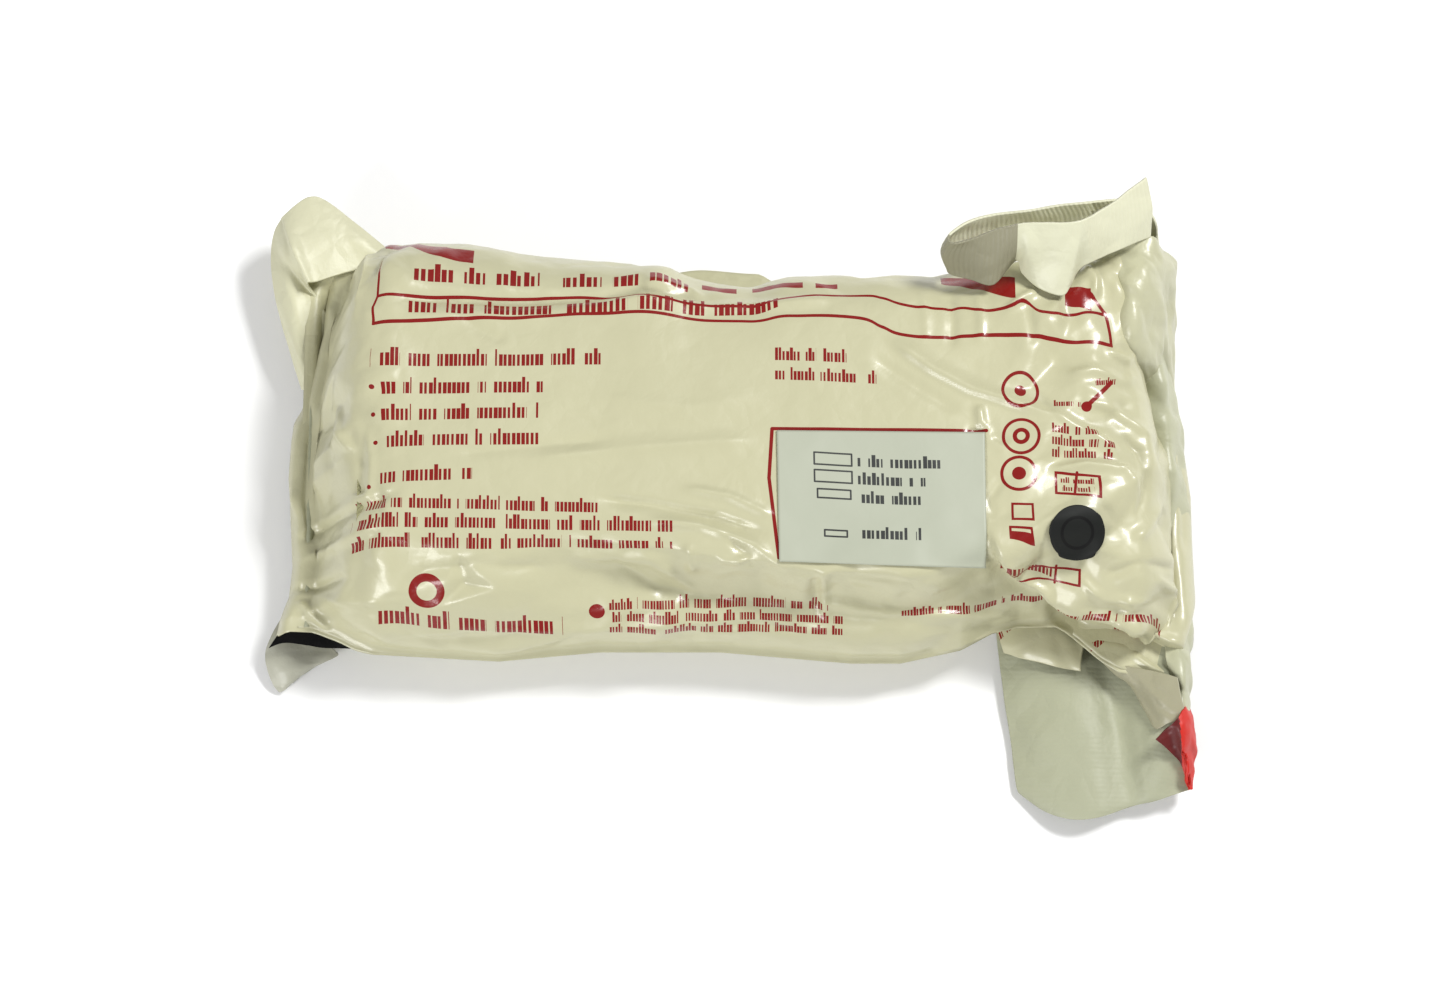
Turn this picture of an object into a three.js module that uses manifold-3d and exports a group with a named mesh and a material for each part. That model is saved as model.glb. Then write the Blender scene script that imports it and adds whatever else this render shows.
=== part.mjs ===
// A vacuum-packed emergency trauma bandage, lying on its back.
// Two webs of film, welded all round, hold a flat-wound elastic bandage with its pad, its pressure
// applicator and its closure bar. The welded ends are folded under, and their corners stick out.
// Millimetres. X runs along the pouch to the right, Y away from the viewer, Z up from the floor.
// Origin: the floor under the middle of the whole thing's bounding box.
import * as THREE from "three";
import { mergeVertices } from "three/addons/utils/BufferGeometryUtils.js";
import Module from "manifold-3d";

const wasm = await Module();
wasm.setup();

// Driving dimensions
const endRoom = 12; // from the roll to the end of the film, with its weld
const sideRoom = 10; // from the roll to the body's side
const crownRoom = 2.2; // over the roll and what lies on it
const weldLevel = 11; // height of the weld that joins the two films
const filmWall = 0.8;
const gap = 0.3; // between pieces that touch
const sideWeld = 1.2; // width of the weld along the long sides
const endWeld = 2.5; // width of the flat weld at each end
const earReach = 10; // how far a corner of the film may stand out past the body
const frontEndRound = 17; // length in which the front film drops to the end weld
const backEndRound = 9; // the same for the back film
const sealWall = 1.5; // an end seal is both films, fused
const sealReach = 2.4; // how far its bight stands out past the end weld
const sealRun = 20; // how far it runs back under the body
const sealLift = 2.3; // room that the back film leaves for it
const flapWidth = 35; // the near right corner, turned towards the viewer
const flapDrop = 34;
const flapRise = 3; // how high its middle stands off the floor
const curlHeight = 9; // how high its right edge turns up
const foldWidth = 5;
const foldHeight = 1.5;
const labelLength = 39;
const labelDepth = 25.5;
const labelWall = 0.4;
const labelLift = 0.8; // film to label, over the folds between
const discRadius = 5.2;
const discWall = 0.8;
const discLift = 0.6; // film to disc, at its middle
const wrapLength = 142; // the bandage's own width, which lies along the pouch
const wrapDepth = 56;
const wrapHeight = 25;
const wrapLayer = 2.3;
const wrapTurns = 3.5;
const applicatorLength = 40;
const applicatorDepth = 30;
const applicatorWall = 2;
const applicatorRim = 7; // width of its frame round the open middle
const barLength = 70;
const barDepth = 10;
const barWall = 1.6;

// The pouch is drawn tight onto the roll, so its size follows from what it holds.
const wrapMiddle = sealLift + filmWall + gap + wrapHeight / 2;
const wrapTop = wrapMiddle + wrapHeight / 2;
const wrapPitch = wrapLayer + gap;
const wrapRadius = (wrapHeight + wrapPitch) / 2; // of its outermost turn, where the strip begins
const wrapStraight = (wrapDepth - wrapHeight - wrapPitch / 2) / 2; // half its flat stretch
const halfLength = wrapLength / 2 + endRoom;
const halfDepth = wrapDepth / 2 + sideRoom;
const topWall = Math.max(applicatorWall, barWall);
const pouchHeight = wrapTop + gap + topWall + gap + filmWall + crownRoom;

// The roll's hollow over and under its middle, which the pad fills
const hollowRoof = wrapRadius - wrapPitch * (wrapTurns - 0.25) - wrapLayer - wrapPitch / 4;
const hollowFloor = -(wrapRadius - wrapPitch * (wrapTurns - 0.75) - wrapLayer) - wrapPitch / 4;
const padHeight = hollowRoof - hollowFloor - 2 * gap;
const padDepth = 2 * (wrapStraight - gap);

// Where the small pieces lie, in shares of half the length and half the depth of what carries them
const labelAt = { x: 0.323, y: -0.37 };
const discAt = { x: 0.77, y: -0.55 };
const rollAt = { x: 0, y: -0.02 };
const applicatorAt = { x: 0.68, y: -0.22 };
const barAt = { x: -0.18, y: 0.11 };

// The body from the left end to the right. at: share of half the length. near, far: the body's edges
// as shares of half the depth. top: share of the height. nearEar, farEar: how far the weld stands out
// there, as shares of earReach. shelf: how much the near side is stepped.
const stations = [
  { at: -1.0, near: 0.88, far: 0.95, top: 0.95, nearEar: 0.15, farEar: 1.6, shelf: 0.0 },
  { at: -0.96, near: 0.92, far: 0.98, top: 0.95, nearEar: 0.15, farEar: 1.55, shelf: 0.1 },
  { at: -0.88, near: 0.95, far: 1.02, top: 0.96, nearEar: 0.08, farEar: 0.8, shelf: 0.15 },
  { at: -0.79, near: 0.97, far: 1.04, top: 0.97, nearEar: 0.0, farEar: 0.2, shelf: 0.2 },
  { at: -0.54, near: 1.0, far: 1.04, top: 0.98, nearEar: 0.0, farEar: 0.0, shelf: 0.35 },
  { at: -0.31, near: 0.96, far: 0.99, top: 0.98, nearEar: 0.0, farEar: 0.0, shelf: 0.6 },
  { at: -0.2, near: 0.94, far: 0.95, top: 0.985, nearEar: 0.0, farEar: 0.05, shelf: 0.8 },
  { at: -0.08, near: 0.94, far: 0.92, top: 0.985, nearEar: 0.0, farEar: 0.3, shelf: 0.9 },
  { at: 0.05, near: 0.96, far: 0.9, top: 0.99, nearEar: 0.0, farEar: 0.3, shelf: 1.0 },
  { at: 0.11, near: 0.98, far: 0.89, top: 0.99, nearEar: 0.0, farEar: 0.1, shelf: 1.0 },
  { at: 0.26, near: 1.02, far: 0.88, top: 0.995, nearEar: 0.0, farEar: 0.0, shelf: 1.0 },
  { at: 0.4, near: 1.01, far: 0.87, top: 1.0, nearEar: 0.0, farEar: 0.0, shelf: 1.0 },
  { at: 0.6, near: 0.89, far: 0.87, top: 1.0, nearEar: 0.0, farEar: 0.0, shelf: 0.9 },
  { at: 0.7, near: 0.86, far: 0.88, top: 1.0, nearEar: 0.0, farEar: 0.0, shelf: 0.7 },
  { at: 0.78, near: 0.9, far: 0.91, top: 1.0, nearEar: 0.3, farEar: 0.1, shelf: 0.5 },
  { at: 0.88, near: 0.95, far: 0.94, top: 0.98, nearEar: 0.7, farEar: 0.2, shelf: 0.3 },
  { at: 1.0, near: 0.92, far: 0.89, top: 0.96, nearEar: 0.8, farEar: 0.0, shelf: 0.0 },
];

// The front film across the body, from the near edge to the far one. across: share of the way over.
// rise: share of the height above the weld. The stepped columns are the near side where the film
// drops to a shelf before it turns down.
const frontSection = [
  { across: 0.0, rise: 0.0, steppedAcross: 0.0, steppedRise: 0.0 },
  { across: 0.004, rise: 0.17, steppedAcross: 0.004, steppedRise: 0.13 },
  { across: 0.022, rise: 0.38, steppedAcross: 0.014, steppedRise: 0.25 },
  { across: 0.065, rise: 0.62, steppedAcross: 0.04, steppedRise: 0.36 },
  { across: 0.12, rise: 0.81, steppedAcross: 0.078, steppedRise: 0.43 },
  { across: 0.18, rise: 0.92, steppedAcross: 0.102, steppedRise: 0.58 },
  { across: 0.24, rise: 0.965, steppedAcross: 0.124, steppedRise: 0.84 },
  { across: 0.33, rise: 0.99, steppedAcross: 0.17, steppedRise: 0.965 },
  { across: 0.5, rise: 1.0, steppedAcross: 0.4, steppedRise: 1.0 },
  { across: 0.68, rise: 0.985, steppedAcross: 0.68, steppedRise: 0.985 },
  { across: 0.8, rise: 0.92, steppedAcross: 0.8, steppedRise: 0.92 },
  { across: 0.88, rise: 0.79, steppedAcross: 0.88, steppedRise: 0.79 },
  { across: 0.94, rise: 0.6, steppedAcross: 0.94, steppedRise: 0.6 },
  { across: 0.978, rise: 0.36, steppedAcross: 0.978, steppedRise: 0.36 },
  { across: 0.996, rise: 0.16, steppedAcross: 0.996, steppedRise: 0.16 },
  { across: 1.0, rise: 0.0, steppedAcross: 1.0, steppedRise: 0.0 },
];

// The back film across the body. sink: share of the drop from the weld to the floor.
const backSection = [
  { across: 0.0, sink: 0.0 },
  { across: 0.012, sink: 0.3 },
  { across: 0.045, sink: 0.62 },
  { across: 0.1, sink: 0.88 },
  { across: 0.17, sink: 1.0 },
  { across: 0.33, sink: 1.0 },
  { across: 0.5, sink: 1.0 },
  { across: 0.67, sink: 1.0 },
  { across: 0.83, sink: 1.0 },
  { across: 0.9, sink: 0.88 },
  { across: 0.955, sink: 0.62 },
  { across: 0.988, sink: 0.3 },
  { across: 1.0, sink: 0.0 },
];

// The main folds of the front film. Ends in shares of half the length and half the depth, width and
// height in shares of foldWidth and foldHeight. A negative height is a valley.
const folds = [
  { fromX: -0.78, fromY: 0.74, toX: -0.1, toY: 0.66, width: 0.8, height: -0.5 },
  { fromX: -0.45, fromY: 0.86, toX: -0.06, toY: 0.74, width: 0.7, height: 0.5 },
  { fromX: 0.36, fromY: 0.42, toX: 0.62, toY: 0.04, width: 0.8, height: 0.55 },
  { fromX: -0.4, fromY: -0.14, toX: 0.08, toY: -0.1, width: 0.9, height: 0.35 },
  { fromX: -0.9, fromY: 0.1, toX: -0.92, toY: -0.42, width: 0.6, height: 0.6 },
  { fromX: -0.84, fromY: 0.16, toX: -0.86, toY: -0.3, width: 0.6, height: -0.5 },
  { fromX: -0.79, fromY: 0.12, toX: -0.8, toY: -0.36, width: 0.6, height: 0.5 },
  { fromX: -0.94, fromY: -0.56, toX: -0.72, toY: -0.3, width: 0.7, height: -0.6 },
  { fromX: -0.94, fromY: -0.7, toX: -0.78, toY: -0.52, width: 0.6, height: 0.6 },
  { fromX: -0.2, fromY: -0.4, toX: 0.08, toY: -0.62, width: 0.8, height: -0.6 },
  { fromX: -0.12, fromY: -0.3, toX: 0.1, toY: -0.44, width: 0.6, height: 0.4 },
  { fromX: -0.34, fromY: -0.74, toX: -0.02, toY: -0.76, width: 0.6, height: 0.5 },
  { fromX: 0.22, fromY: -0.7, toX: 0.22, toY: -0.86, width: 0.4, height: 0.5 },
  { fromX: 0.62, fromY: -0.62, toX: 0.78, toY: -0.76, width: 0.7, height: 0.9 },
  { fromX: 0.78, fromY: -0.76, toX: 0.96, toY: -0.88, width: 0.7, height: 0.9 },
  { fromX: 0.72, fromY: 0.04, toX: 0.9, toY: -0.2, width: 0.6, height: 0.5 },
  { fromX: 0.9, fromY: -0.2, toX: 0.86, toY: -0.5, width: 0.6, height: 0.4 },
  { fromX: 0.93, fromY: 0.6, toX: 0.94, toY: -0.6, width: 0.7, height: -0.7 },
  { fromX: 0.84, fromY: 0.3, toX: 0.9, toY: 0.5, width: 0.6, height: 0.5 },
];

// Columns and rows of each sheet
const grids = {
  frontFilm: [46, 22],
  backFilm: [34, 18],
  leftEnd: [26, 10],
  rightEnd: [20, 10],
  flap: [14, 10],
  scroll: [32, 3],
  label: [12, 8],
};
const discSides = 28;
const turnSides = 16; // of the wound strip
const cornerSides = 5; // of a moulded piece

const mix = THREE.MathUtils.lerp;
const clamp = THREE.MathUtils.clamp;
const smooth = (low, high, value) => THREE.MathUtils.smoothstep(value, low, high);

// A column of a table at a value of its key, eased between the rows.
function read(table, key, name, value) {
  const last = table.length - 1;
  if (value <= table[0][key]) return table[0][name];
  if (value >= table[last][key]) return table[last][name];
  const row = table.findIndex((entry) => entry[key] > value) - 1;
  const from = table[row];
  const to = table[row + 1];
  return mix(from[name], to[name], smooth(from[key], to[key], value));
}

// A column of a table as a smooth curve through its rows, share running from 0 to 1.
function along(table, name, share) {
  const place = clamp(share, 0, 1) * (table.length - 1);
  const row = Math.min(Math.floor(place), table.length - 2);
  const value = (index) => table[clamp(index, 0, table.length - 1)][name];
  const [before, from, to, after] = [row - 1, row, row + 1, row + 2].map(value);
  const t = place - row;
  const pull = (to - before) / 2;
  const push = (after - from) / 2;
  const square = t * t;
  const cube = square * t;
  return (
    (2 * cube - 3 * square + 1) * from +
    (cube - 2 * square + t) * pull +
    (3 * square - 2 * cube) * to +
    (cube - square) * push
  );
}

// A closed sheet of even wall: outer(u, v) is its outer face, u and v from 0 to 1, seen from outside
// with u to the right and v up. The wall lies behind that face.
function sheet(outer, [columns, rows], wall) {
  const wide = columns + 1;
  const count = wide * (rows + 1);
  const face = [];
  for (let row = 0; row <= rows; row++) {
    for (let column = 0; column <= columns; column++) {
      face.push(outer(column / columns, row / rows));
    }
  }
  const front = [];
  for (let row = 0; row < rows; row++) {
    for (let column = 0; column < columns; column++) {
      const a = row * wide + column;
      const b = a + 1;
      const c = a + wide;
      const d = c + 1;
      front.push(a, b, d, a, d, c);
    }
  }
  const skin = new THREE.BufferGeometry().setFromPoints(face).setIndex(front);
  skin.computeVertexNormals();
  const normals = skin.getAttribute("normal");
  const back = face.map((point, index) =>
    point.clone().addScaledVector(new THREE.Vector3().fromBufferAttribute(normals, index), -wall),
  );
  const faces = [...front];
  for (let i = 0; i < front.length; i += 3) {
    faces.push(front[i] + count, front[i + 2] + count, front[i + 1] + count);
  }
  const rim = [];
  for (let column = 0; column < columns; column++) rim.push(column);
  for (let row = 0; row < rows; row++) rim.push(row * wide + columns);
  for (let column = columns; column > 0; column--) rim.push(rows * wide + column);
  for (let row = rows; row > 0; row--) rim.push(row * wide);
  rim.forEach((from, index) => {
    const to = rim[(index + 1) % rim.length];
    faces.push(from, from + count, to + count, from, to + count, to);
  });
  return new THREE.BufferGeometry().setFromPoints([...face, ...back]).setIndex(faces);
}

// The place along the body for a share of the columns, which lie closer together at the ends.
function lengthwise(share) {
  const crowding = 0.2;
  const side = 2 * share - 1;
  return halfLength * (side * (1 + crowding) - crowding * side ** 3);
}

// How much of its full height the body has at x: 0 on the end weld, 1 past the round.
function fullness(x, round) {
  const inward = halfLength - endWeld - Math.abs(x);
  if (inward <= 0) return 0;
  if (inward >= round) return 1;
  return Math.sqrt(1 - (1 - inward / round) ** 2);
}

// The body's edges and the weld's outer edges at x, from the near side to the far one.
function edges(x) {
  const at = x / halfLength;
  const near = -halfDepth * read(stations, "at", "near", at);
  const far = halfDepth * read(stations, "at", "far", at);
  return {
    nearWeld: near - sideWeld - earReach * read(stations, "at", "nearEar", at),
    near,
    far,
    farWeld: far + sideWeld + earReach * read(stations, "at", "farEar", at),
  };
}

// Share v of the rows as a place on the weld, side -1 or 1, or on the body, share 0 to 1.
const weldShare = 0.07;
function acrossPlace(v) {
  if (v < weldShare) return { side: -1, share: 1 - v / weldShare };
  if (v > 1 - weldShare) return { side: 1, share: (v - 1 + weldShare) / weldShare };
  return { side: 0, share: (v - weldShare) / (1 - 2 * weldShare) };
}

// How much the folds lift the film at a point of the plan.
function foldAt(x, y) {
  let lift = 0;
  for (const fold of folds) {
    const from = new THREE.Vector2(fold.fromX * halfLength, fold.fromY * halfDepth);
    const to = new THREE.Vector2(fold.toX * halfLength, fold.toY * halfDepth);
    const way = to.clone().sub(from);
    const share = clamp(new THREE.Vector2(x, y).sub(from).dot(way) / way.lengthSq(), 0, 1);
    const away = from.addScaledVector(way, share).distanceTo(new THREE.Vector2(x, y));
    const reach = fold.width * foldWidth;
    if (away < reach) lift += fold.height * foldHeight * (1 - (away / reach) ** 2) ** 2;
  }
  return lift;
}

// The front film's outer face at x, for a place across it.
function frontPoint(x, place) {
  const edge = edges(x);
  const weldTop = weldLevel + gap / 2 + filmWall;
  if (place.side < 0) {
    return new THREE.Vector3(x, mix(edge.near, edge.nearWeld, place.share), weldTop);
  }
  if (place.side > 0) {
    return new THREE.Vector3(x, mix(edge.far, edge.farWeld, place.share), weldTop);
  }
  const at = x / halfLength;
  const full = fullness(x, frontEndRound);
  const shelf = read(stations, "at", "shelf", at);
  const shaped = mix(
    along(frontSection, "across", place.share),
    along(frontSection, "steppedAcross", place.share),
    shelf,
  );
  const rise = mix(
    along(frontSection, "rise", place.share),
    along(frontSection, "steppedRise", place.share),
    shelf,
  );
  const y = mix(edge.near, edge.far, mix(place.share, shaped, clamp(full * 1.5, 0, 1)));
  const top = pouchHeight * read(stations, "at", "top", at);
  const creased = smooth(0.35, 0.75, full) * smooth(0.2, 0.7, rise); // no folds by the weld
  return new THREE.Vector3(x, y, weldTop + rise * full * (top - weldTop) + creased * foldAt(x, y));
}

// The front film's outer face above a point of the plan, which lies on the body.
function frontAt(x, y) {
  let low = 0;
  let high = 1;
  for (let step = 0; step < 30; step++) {
    const middle = (low + high) / 2;
    if (frontPoint(x, { side: 0, share: middle }).y < y) low = middle;
    else high = middle;
  }
  return frontPoint(x, { side: 0, share: low });
}

// The front film's outward direction there.
function frontNormal(x, y, span) {
  const alongX = frontAt(x + span, y).sub(frontAt(x - span, y));
  const alongY = frontAt(x, y + span).sub(frontAt(x, y - span));
  return alongX.cross(alongY).normalize();
}

// The back film's outer face, which lies flat on the floor between the two end seals.
function backPoint(x, place) {
  const edge = edges(x);
  const weldFoot = weldLevel - gap / 2 - filmWall;
  if (place.side < 0) {
    return new THREE.Vector3(x, mix(edge.near, edge.nearWeld, place.share), weldFoot);
  }
  if (place.side > 0) {
    return new THREE.Vector3(x, mix(edge.far, edge.farWeld, place.share), weldFoot);
  }
  const full = fullness(x, backEndRound);
  const shaped = along(backSection, "across", place.share);
  const sink = clamp(along(backSection, "sink", place.share), 0, 1);
  const sealEnd = halfLength - sealRun - endWeld;
  const floor = sealLift * smooth(sealEnd - 3 * sealLift, sealEnd - gap, Math.abs(x));
  const y = mix(edge.near, edge.far, mix(place.share, shaped, clamp(full * 1.5, 0, 1)));
  return new THREE.Vector3(x, y, Math.max(0, weldFoot - sink * full * (weldFoot - floor)));
}

// The end seals. Each row is a section from the weld round and back under the body. at: share of half
// the depth. reach: share of sealReach. run: share of sealRun.
const leftSeal = [
  { at: -1.12, reach: 1.1, run: 0.12 },
  { at: -1.04, reach: 1.5, run: 0.3 },
  { at: -0.94, reach: 1.3, run: 0.8 },
  { at: -0.75, reach: 0.4, run: 1.0 },
  { at: 0.0, reach: 0.3, run: 1.0 },
  { at: 0.35, reach: 0.4, run: 1.0 },
  { at: 0.7, reach: 1.1, run: 1.0 },
  { at: 1.0, reach: 2.0, run: 0.9 },
  { at: 1.18, reach: 1.8, run: 0.6 },
  { at: 1.38, reach: 0.6, run: 0.3 },
];
const rightSeal = [
  { at: -1.12, reach: 0.7, run: 0.5 },
  { at: -0.95, reach: 0.8, run: 1.0 },
  { at: -0.4, reach: 1.0, run: 1.0 },
  { at: 0.0, reach: 1.0, run: 1.0 },
  { at: 0.5, reach: 0.3, run: 1.0 },
  { at: 0.86, reach: 0.1, run: 0.8 },
];

// The path of an end seal's section. out: shares of the bight's reach. run: shares of sealRun.
// level: shares of the weld's height.
const sealPath = [
  { out: 0.0, run: 0.0, level: 1.0 },
  { out: 0.8, run: 0.0, level: 0.86 },
  { out: 1.0, run: 0.0, level: 0.55 },
  { out: 0.7, run: 0.0, level: 0.25 },
  { out: 0.0, run: 0.08, level: 0.0 },
  { out: 0.0, run: 0.45, level: 0.0 },
  { out: 0.0, run: 1.0, level: 0.0 },
];

function sealPoint(table, side, u, v) {
  const at = mix(table[0].at, table[table.length - 1].at, u);
  const reach = read(table, "at", "reach", at) * sealReach;
  const run = read(table, "at", "run", at) * sealRun;
  const start = halfLength + gap + sealWall;
  const inward = along(sealPath, "run", v) * run;
  const outward = along(sealPath, "out", v) * reach;
  const level = along(sealPath, "level", v) * (weldLevel + sealWall / 2);
  return new THREE.Vector3(side * (start + outward - inward), at * halfDepth, Math.max(0, level));
}

// The flap at the near right corner: the right end seal's near end, turned towards the viewer.
// Rows run from under the body to the free edge. at: Y in shares of flapDrop past the body.
// left, right: X in shares of flapWidth from flapStart. curl: how far its right edge turns up.
const flapStart = halfLength + gap + sealWall + sealReach - flapWidth;
const flapRoot = 0.9; // where it leaves the body, as a share of half the depth
const flapFoot = 1.1 * sealWall; // its outer face there, a little over the band's, to join cleanly
const flap = [
  { at: -0.08, left: 0.0, right: 0.95, rise: 0.0, curl: 0.0 },
  { at: 0.1, left: 0.0, right: 0.97, rise: 0.3, curl: 0.05 },
  { at: 0.34, left: 0.02, right: 1.0, rise: 0.9, curl: 0.35 },
  { at: 0.5, left: 0.03, right: 1.0, rise: 1.0, curl: 0.95 },
  { at: 0.7, left: 0.05, right: 1.0, rise: 1.0, curl: 1.0 },
  { at: 0.88, left: 0.08, right: 0.99, rise: 0.7, curl: 0.85 },
  { at: 0.97, left: 0.12, right: 0.96, rise: 0.5, curl: 0.6 },
  { at: 1.0, left: 0.24, right: 0.9, rise: 0.4, curl: 0.45 },
];
const flapSection = [
  { across: 0.0, rise: 0.0, curl: 0.0 },
  { across: 0.18, rise: 0.7, curl: 0.0 },
  { across: 0.4, rise: 1.0, curl: 0.0 },
  { across: 0.6, rise: 0.8, curl: 0.02 },
  { across: 0.78, rise: 0.6, curl: 0.25 },
  { across: 0.93, rise: 0.5, curl: 0.6 },
  { across: 1.0, rise: 0.3, curl: 0.95 },
  { across: 0.98, rise: 0.2, curl: 1.2 },
  { across: 0.93, rise: 0.1, curl: 1.25 },
];

function flapPoint(u, v) {
  const left = flapStart + along(flap, "left", v) * flapWidth;
  const right = flapStart + along(flap, "right", v) * flapWidth;
  const x = mix(left, right, along(flapSection, "across", u));
  const y = -halfDepth * flapRoot - along(flap, "at", v) * flapDrop;
  const rise = flapRise * along(flap, "rise", v) * along(flapSection, "rise", u);
  const curl = curlHeight * along(flap, "curl", v) * along(flapSection, "curl", u);
  return new THREE.Vector3(x, y, flapFoot + Math.max(0, rise + curl));
}

// The far right corner: the right end seal's far end stands up, runs left behind the body, turns and
// comes back in front of its top edge. Root along the fold, rim along the free edge: X in shares of
// scrollStart, Y in shares of half the depth, Z in shares of the height.
const scrollStart =
  halfLength + gap + sealWall + rightSeal.at(-1).reach * sealReach + 0.4 * sealWall;
const scroll = [
  { rootX: 1.0, rootY: 0.68, rootZ: 0.15, rimX: 1.0, rimY: 0.7, rimZ: 0.32 },
  { rootX: 0.996, rootY: 1.026, rootZ: 0.368, rimX: 0.974, rimY: 1.105, rimZ: 0.706 },
  { rootX: 0.905, rootY: 1.066, rootZ: 0.559, rimX: 0.893, rimY: 1.197, rimZ: 0.941 },
  { rootX: 0.812, rootY: 1.053, rootZ: 0.706, rimX: 0.8, rimY: 1.158, rimZ: 1.088 },
  { rootX: 0.684, rootY: 1.013, rootZ: 0.794, rimX: 0.679, rimY: 1.105, rimZ: 1.132 },
  { rootX: 0.545, rootY: 0.947, rootZ: 0.882, rimX: 0.539, rimY: 1.026, rimZ: 1.176 },
  { rootX: 0.47, rootY: 0.868, rootZ: 0.965, rimX: 0.464, rimY: 0.921, rimZ: 1.221 },
  { rootX: 0.476, rootY: 0.75, rootZ: 1.012, rimX: 0.47, rimY: 0.855, rimZ: 1.259 },
  { rootX: 0.557, rootY: 0.711, rootZ: 1.029, rimX: 0.545, rimY: 0.908, rimZ: 1.288 },
  { rootX: 0.661, rootY: 0.711, rootZ: 1.035, rimX: 0.632, rimY: 0.947, rimZ: 1.309 },
  { rootX: 0.717, rootY: 0.671, rootZ: 1.041, rimX: 0.696, rimY: 0.961, rimZ: 1.309 },
  { rootX: 0.766, rootY: 0.763, rootZ: 1.041, rimX: 0.766, rimY: 0.974, rimZ: 1.279 },
  { rootX: 0.835, rootY: 0.882, rootZ: 1.018, rimX: 0.829, rimY: 1.092, rimZ: 1.265 },
  { rootX: 0.916, rootY: 1.0, rootZ: 0.941, rimX: 0.893, rimY: 1.224, rimZ: 1.25 },
];
const scrollSize = new THREE.Vector3(scrollStart, halfDepth, pouchHeight);

function scrollPoint(u, v) {
  const place = (names) => new THREE.Vector3(...names.map((name) => along(scroll, name, u)));
  const root = place(["rootX", "rootY", "rootZ"]);
  const rim = place(["rimX", "rimY", "rimZ"]);
  return root.lerp(rim, v).multiply(scrollSize);
}

const creamFilm = { color: 0xd9d6b4, roughness: 0.38, metalness: 0 };
const sealedFilm = { color: 0xd5d4b2, roughness: 0.42, metalness: 0 };
const paper = { color: 0xc9cdbf, roughness: 0.6, metalness: 0 };
const darkDisc = { color: 0x3c403c, roughness: 0.5, metalness: 0 };
const elasticCloth = { color: 0x8b8a63, roughness: 0.95, metalness: 0 };
const padCloth = { color: 0xefeee8, roughness: 0.95, metalness: 0 };
const mouldedPlastic = { color: 0xe6e6de, roughness: 0.5, metalness: 0 };

const part = new THREE.Group();
const body = new THREE.Group();
part.add(body);

function add(name, geometry, finish) {
  const mesh = new THREE.Mesh(geometry, new THREE.MeshStandardMaterial(finish));
  mesh.name = name;
  body.add(mesh);
  return mesh;
}

// A geometry as a manifold-3d solid, and back. Joins keep no edge shorter than joinFineness.
const joinFineness = 0.05;
function solid(geometry) {
  const plain = geometry.clone();
  plain.deleteAttribute("normal");
  plain.deleteAttribute("uv");
  const merged = mergeVertices(plain, 1e-4);
  return new wasm.Manifold(
    new wasm.Mesh({
      numProp: 3,
      vertProperties: new Float32Array(merged.getAttribute("position").array),
      triVerts: new Uint32Array(merged.index.array),
    }),
  );
}

function shapeOf(made) {
  const mesh = made.getMesh();
  return new THREE.BufferGeometry()
    .setAttribute("position", new THREE.BufferAttribute(mesh.vertProperties, 3))
    .setIndex(new THREE.BufferAttribute(mesh.triVerts, 1));
}

function frontFilm() {
  const outer = (u, v) => frontPoint(lengthwise(u), acrossPlace(v));
  return sheet(outer, grids.frontFilm, filmWall);
}

function backFilm() {
  const outer = (u, v) => backPoint(lengthwise(1 - u), acrossPlace(v));
  return sheet(outer, grids.backFilm, filmWall);
}

function leftEndSeal() {
  return sheet((u, v) => sealPoint(leftSeal, -1, u, v), grids.leftEnd, sealWall);
}

function rightEndSeal() {
  const band = sheet((u, v) => sealPoint(rightSeal, 1, 1 - u, v), grids.rightEnd, sealWall);
  const turned = sheet(flapPoint, grids.flap, sealWall);
  const scrolled = sheet(scrollPoint, grids.scroll, sealWall);
  const joined = [band, turned, scrolled].map(solid).reduce((whole, piece) => whole.add(piece));
  return shapeOf(joined.simplify(joinFineness));
}

// The paper label, which follows the film.
function label() {
  const outer = (u, v) => {
    const x = labelAt.x * halfLength + (u - 0.5) * labelLength;
    const y = labelAt.y * halfDepth + (v - 0.5) * labelDepth;
    const out = frontNormal(x, y, labelWall * 4);
    return frontAt(x, y).addScaledVector(out, labelLift + labelWall);
  };
  return sheet(outer, grids.label, labelWall);
}

function roundSticker() {
  const disc = new THREE.CylinderGeometry(discRadius, discRadius, discWall, discSides);
  disc.rotateX(Math.PI / 2);
  return disc;
}

// The bandage: a long strip wound flat, seen from its end, and pushed along the pouch.
function elasticWrap() {
  const steps = Math.round(wrapTurns * turnSides);
  const at = (step, inset) => {
    const turn = (2 * Math.PI * (step + 0.5)) / turnSides;
    const radius = wrapRadius - (wrapPitch * step) / turnSides - inset;
    const side = Math.sign(Math.cos(turn)) * wrapStraight;
    const up = radius * Math.sin(turn) - wrapPitch / 4;
    return new THREE.Vector2(side + radius * Math.cos(turn), up);
  };
  const outline = [];
  for (let step = 0; step <= steps; step++) outline.push(at(step, 0));
  for (let step = steps; step >= 0; step--) outline.push(at(step, wrapLayer));
  const strip = new THREE.ExtrudeGeometry(new THREE.Shape(outline), {
    depth: wrapLength,
    bevelEnabled: false,
  });
  strip.translate(0, 0, -wrapLength / 2);
  strip.rotateX(Math.PI / 2);
  strip.rotateZ(Math.PI / 2);
  return strip;
}

// The dressing pad, folded into the middle of the roll.
function woundPad() {
  return new THREE.BoxGeometry(wrapLength, padDepth, padHeight);
}

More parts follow.
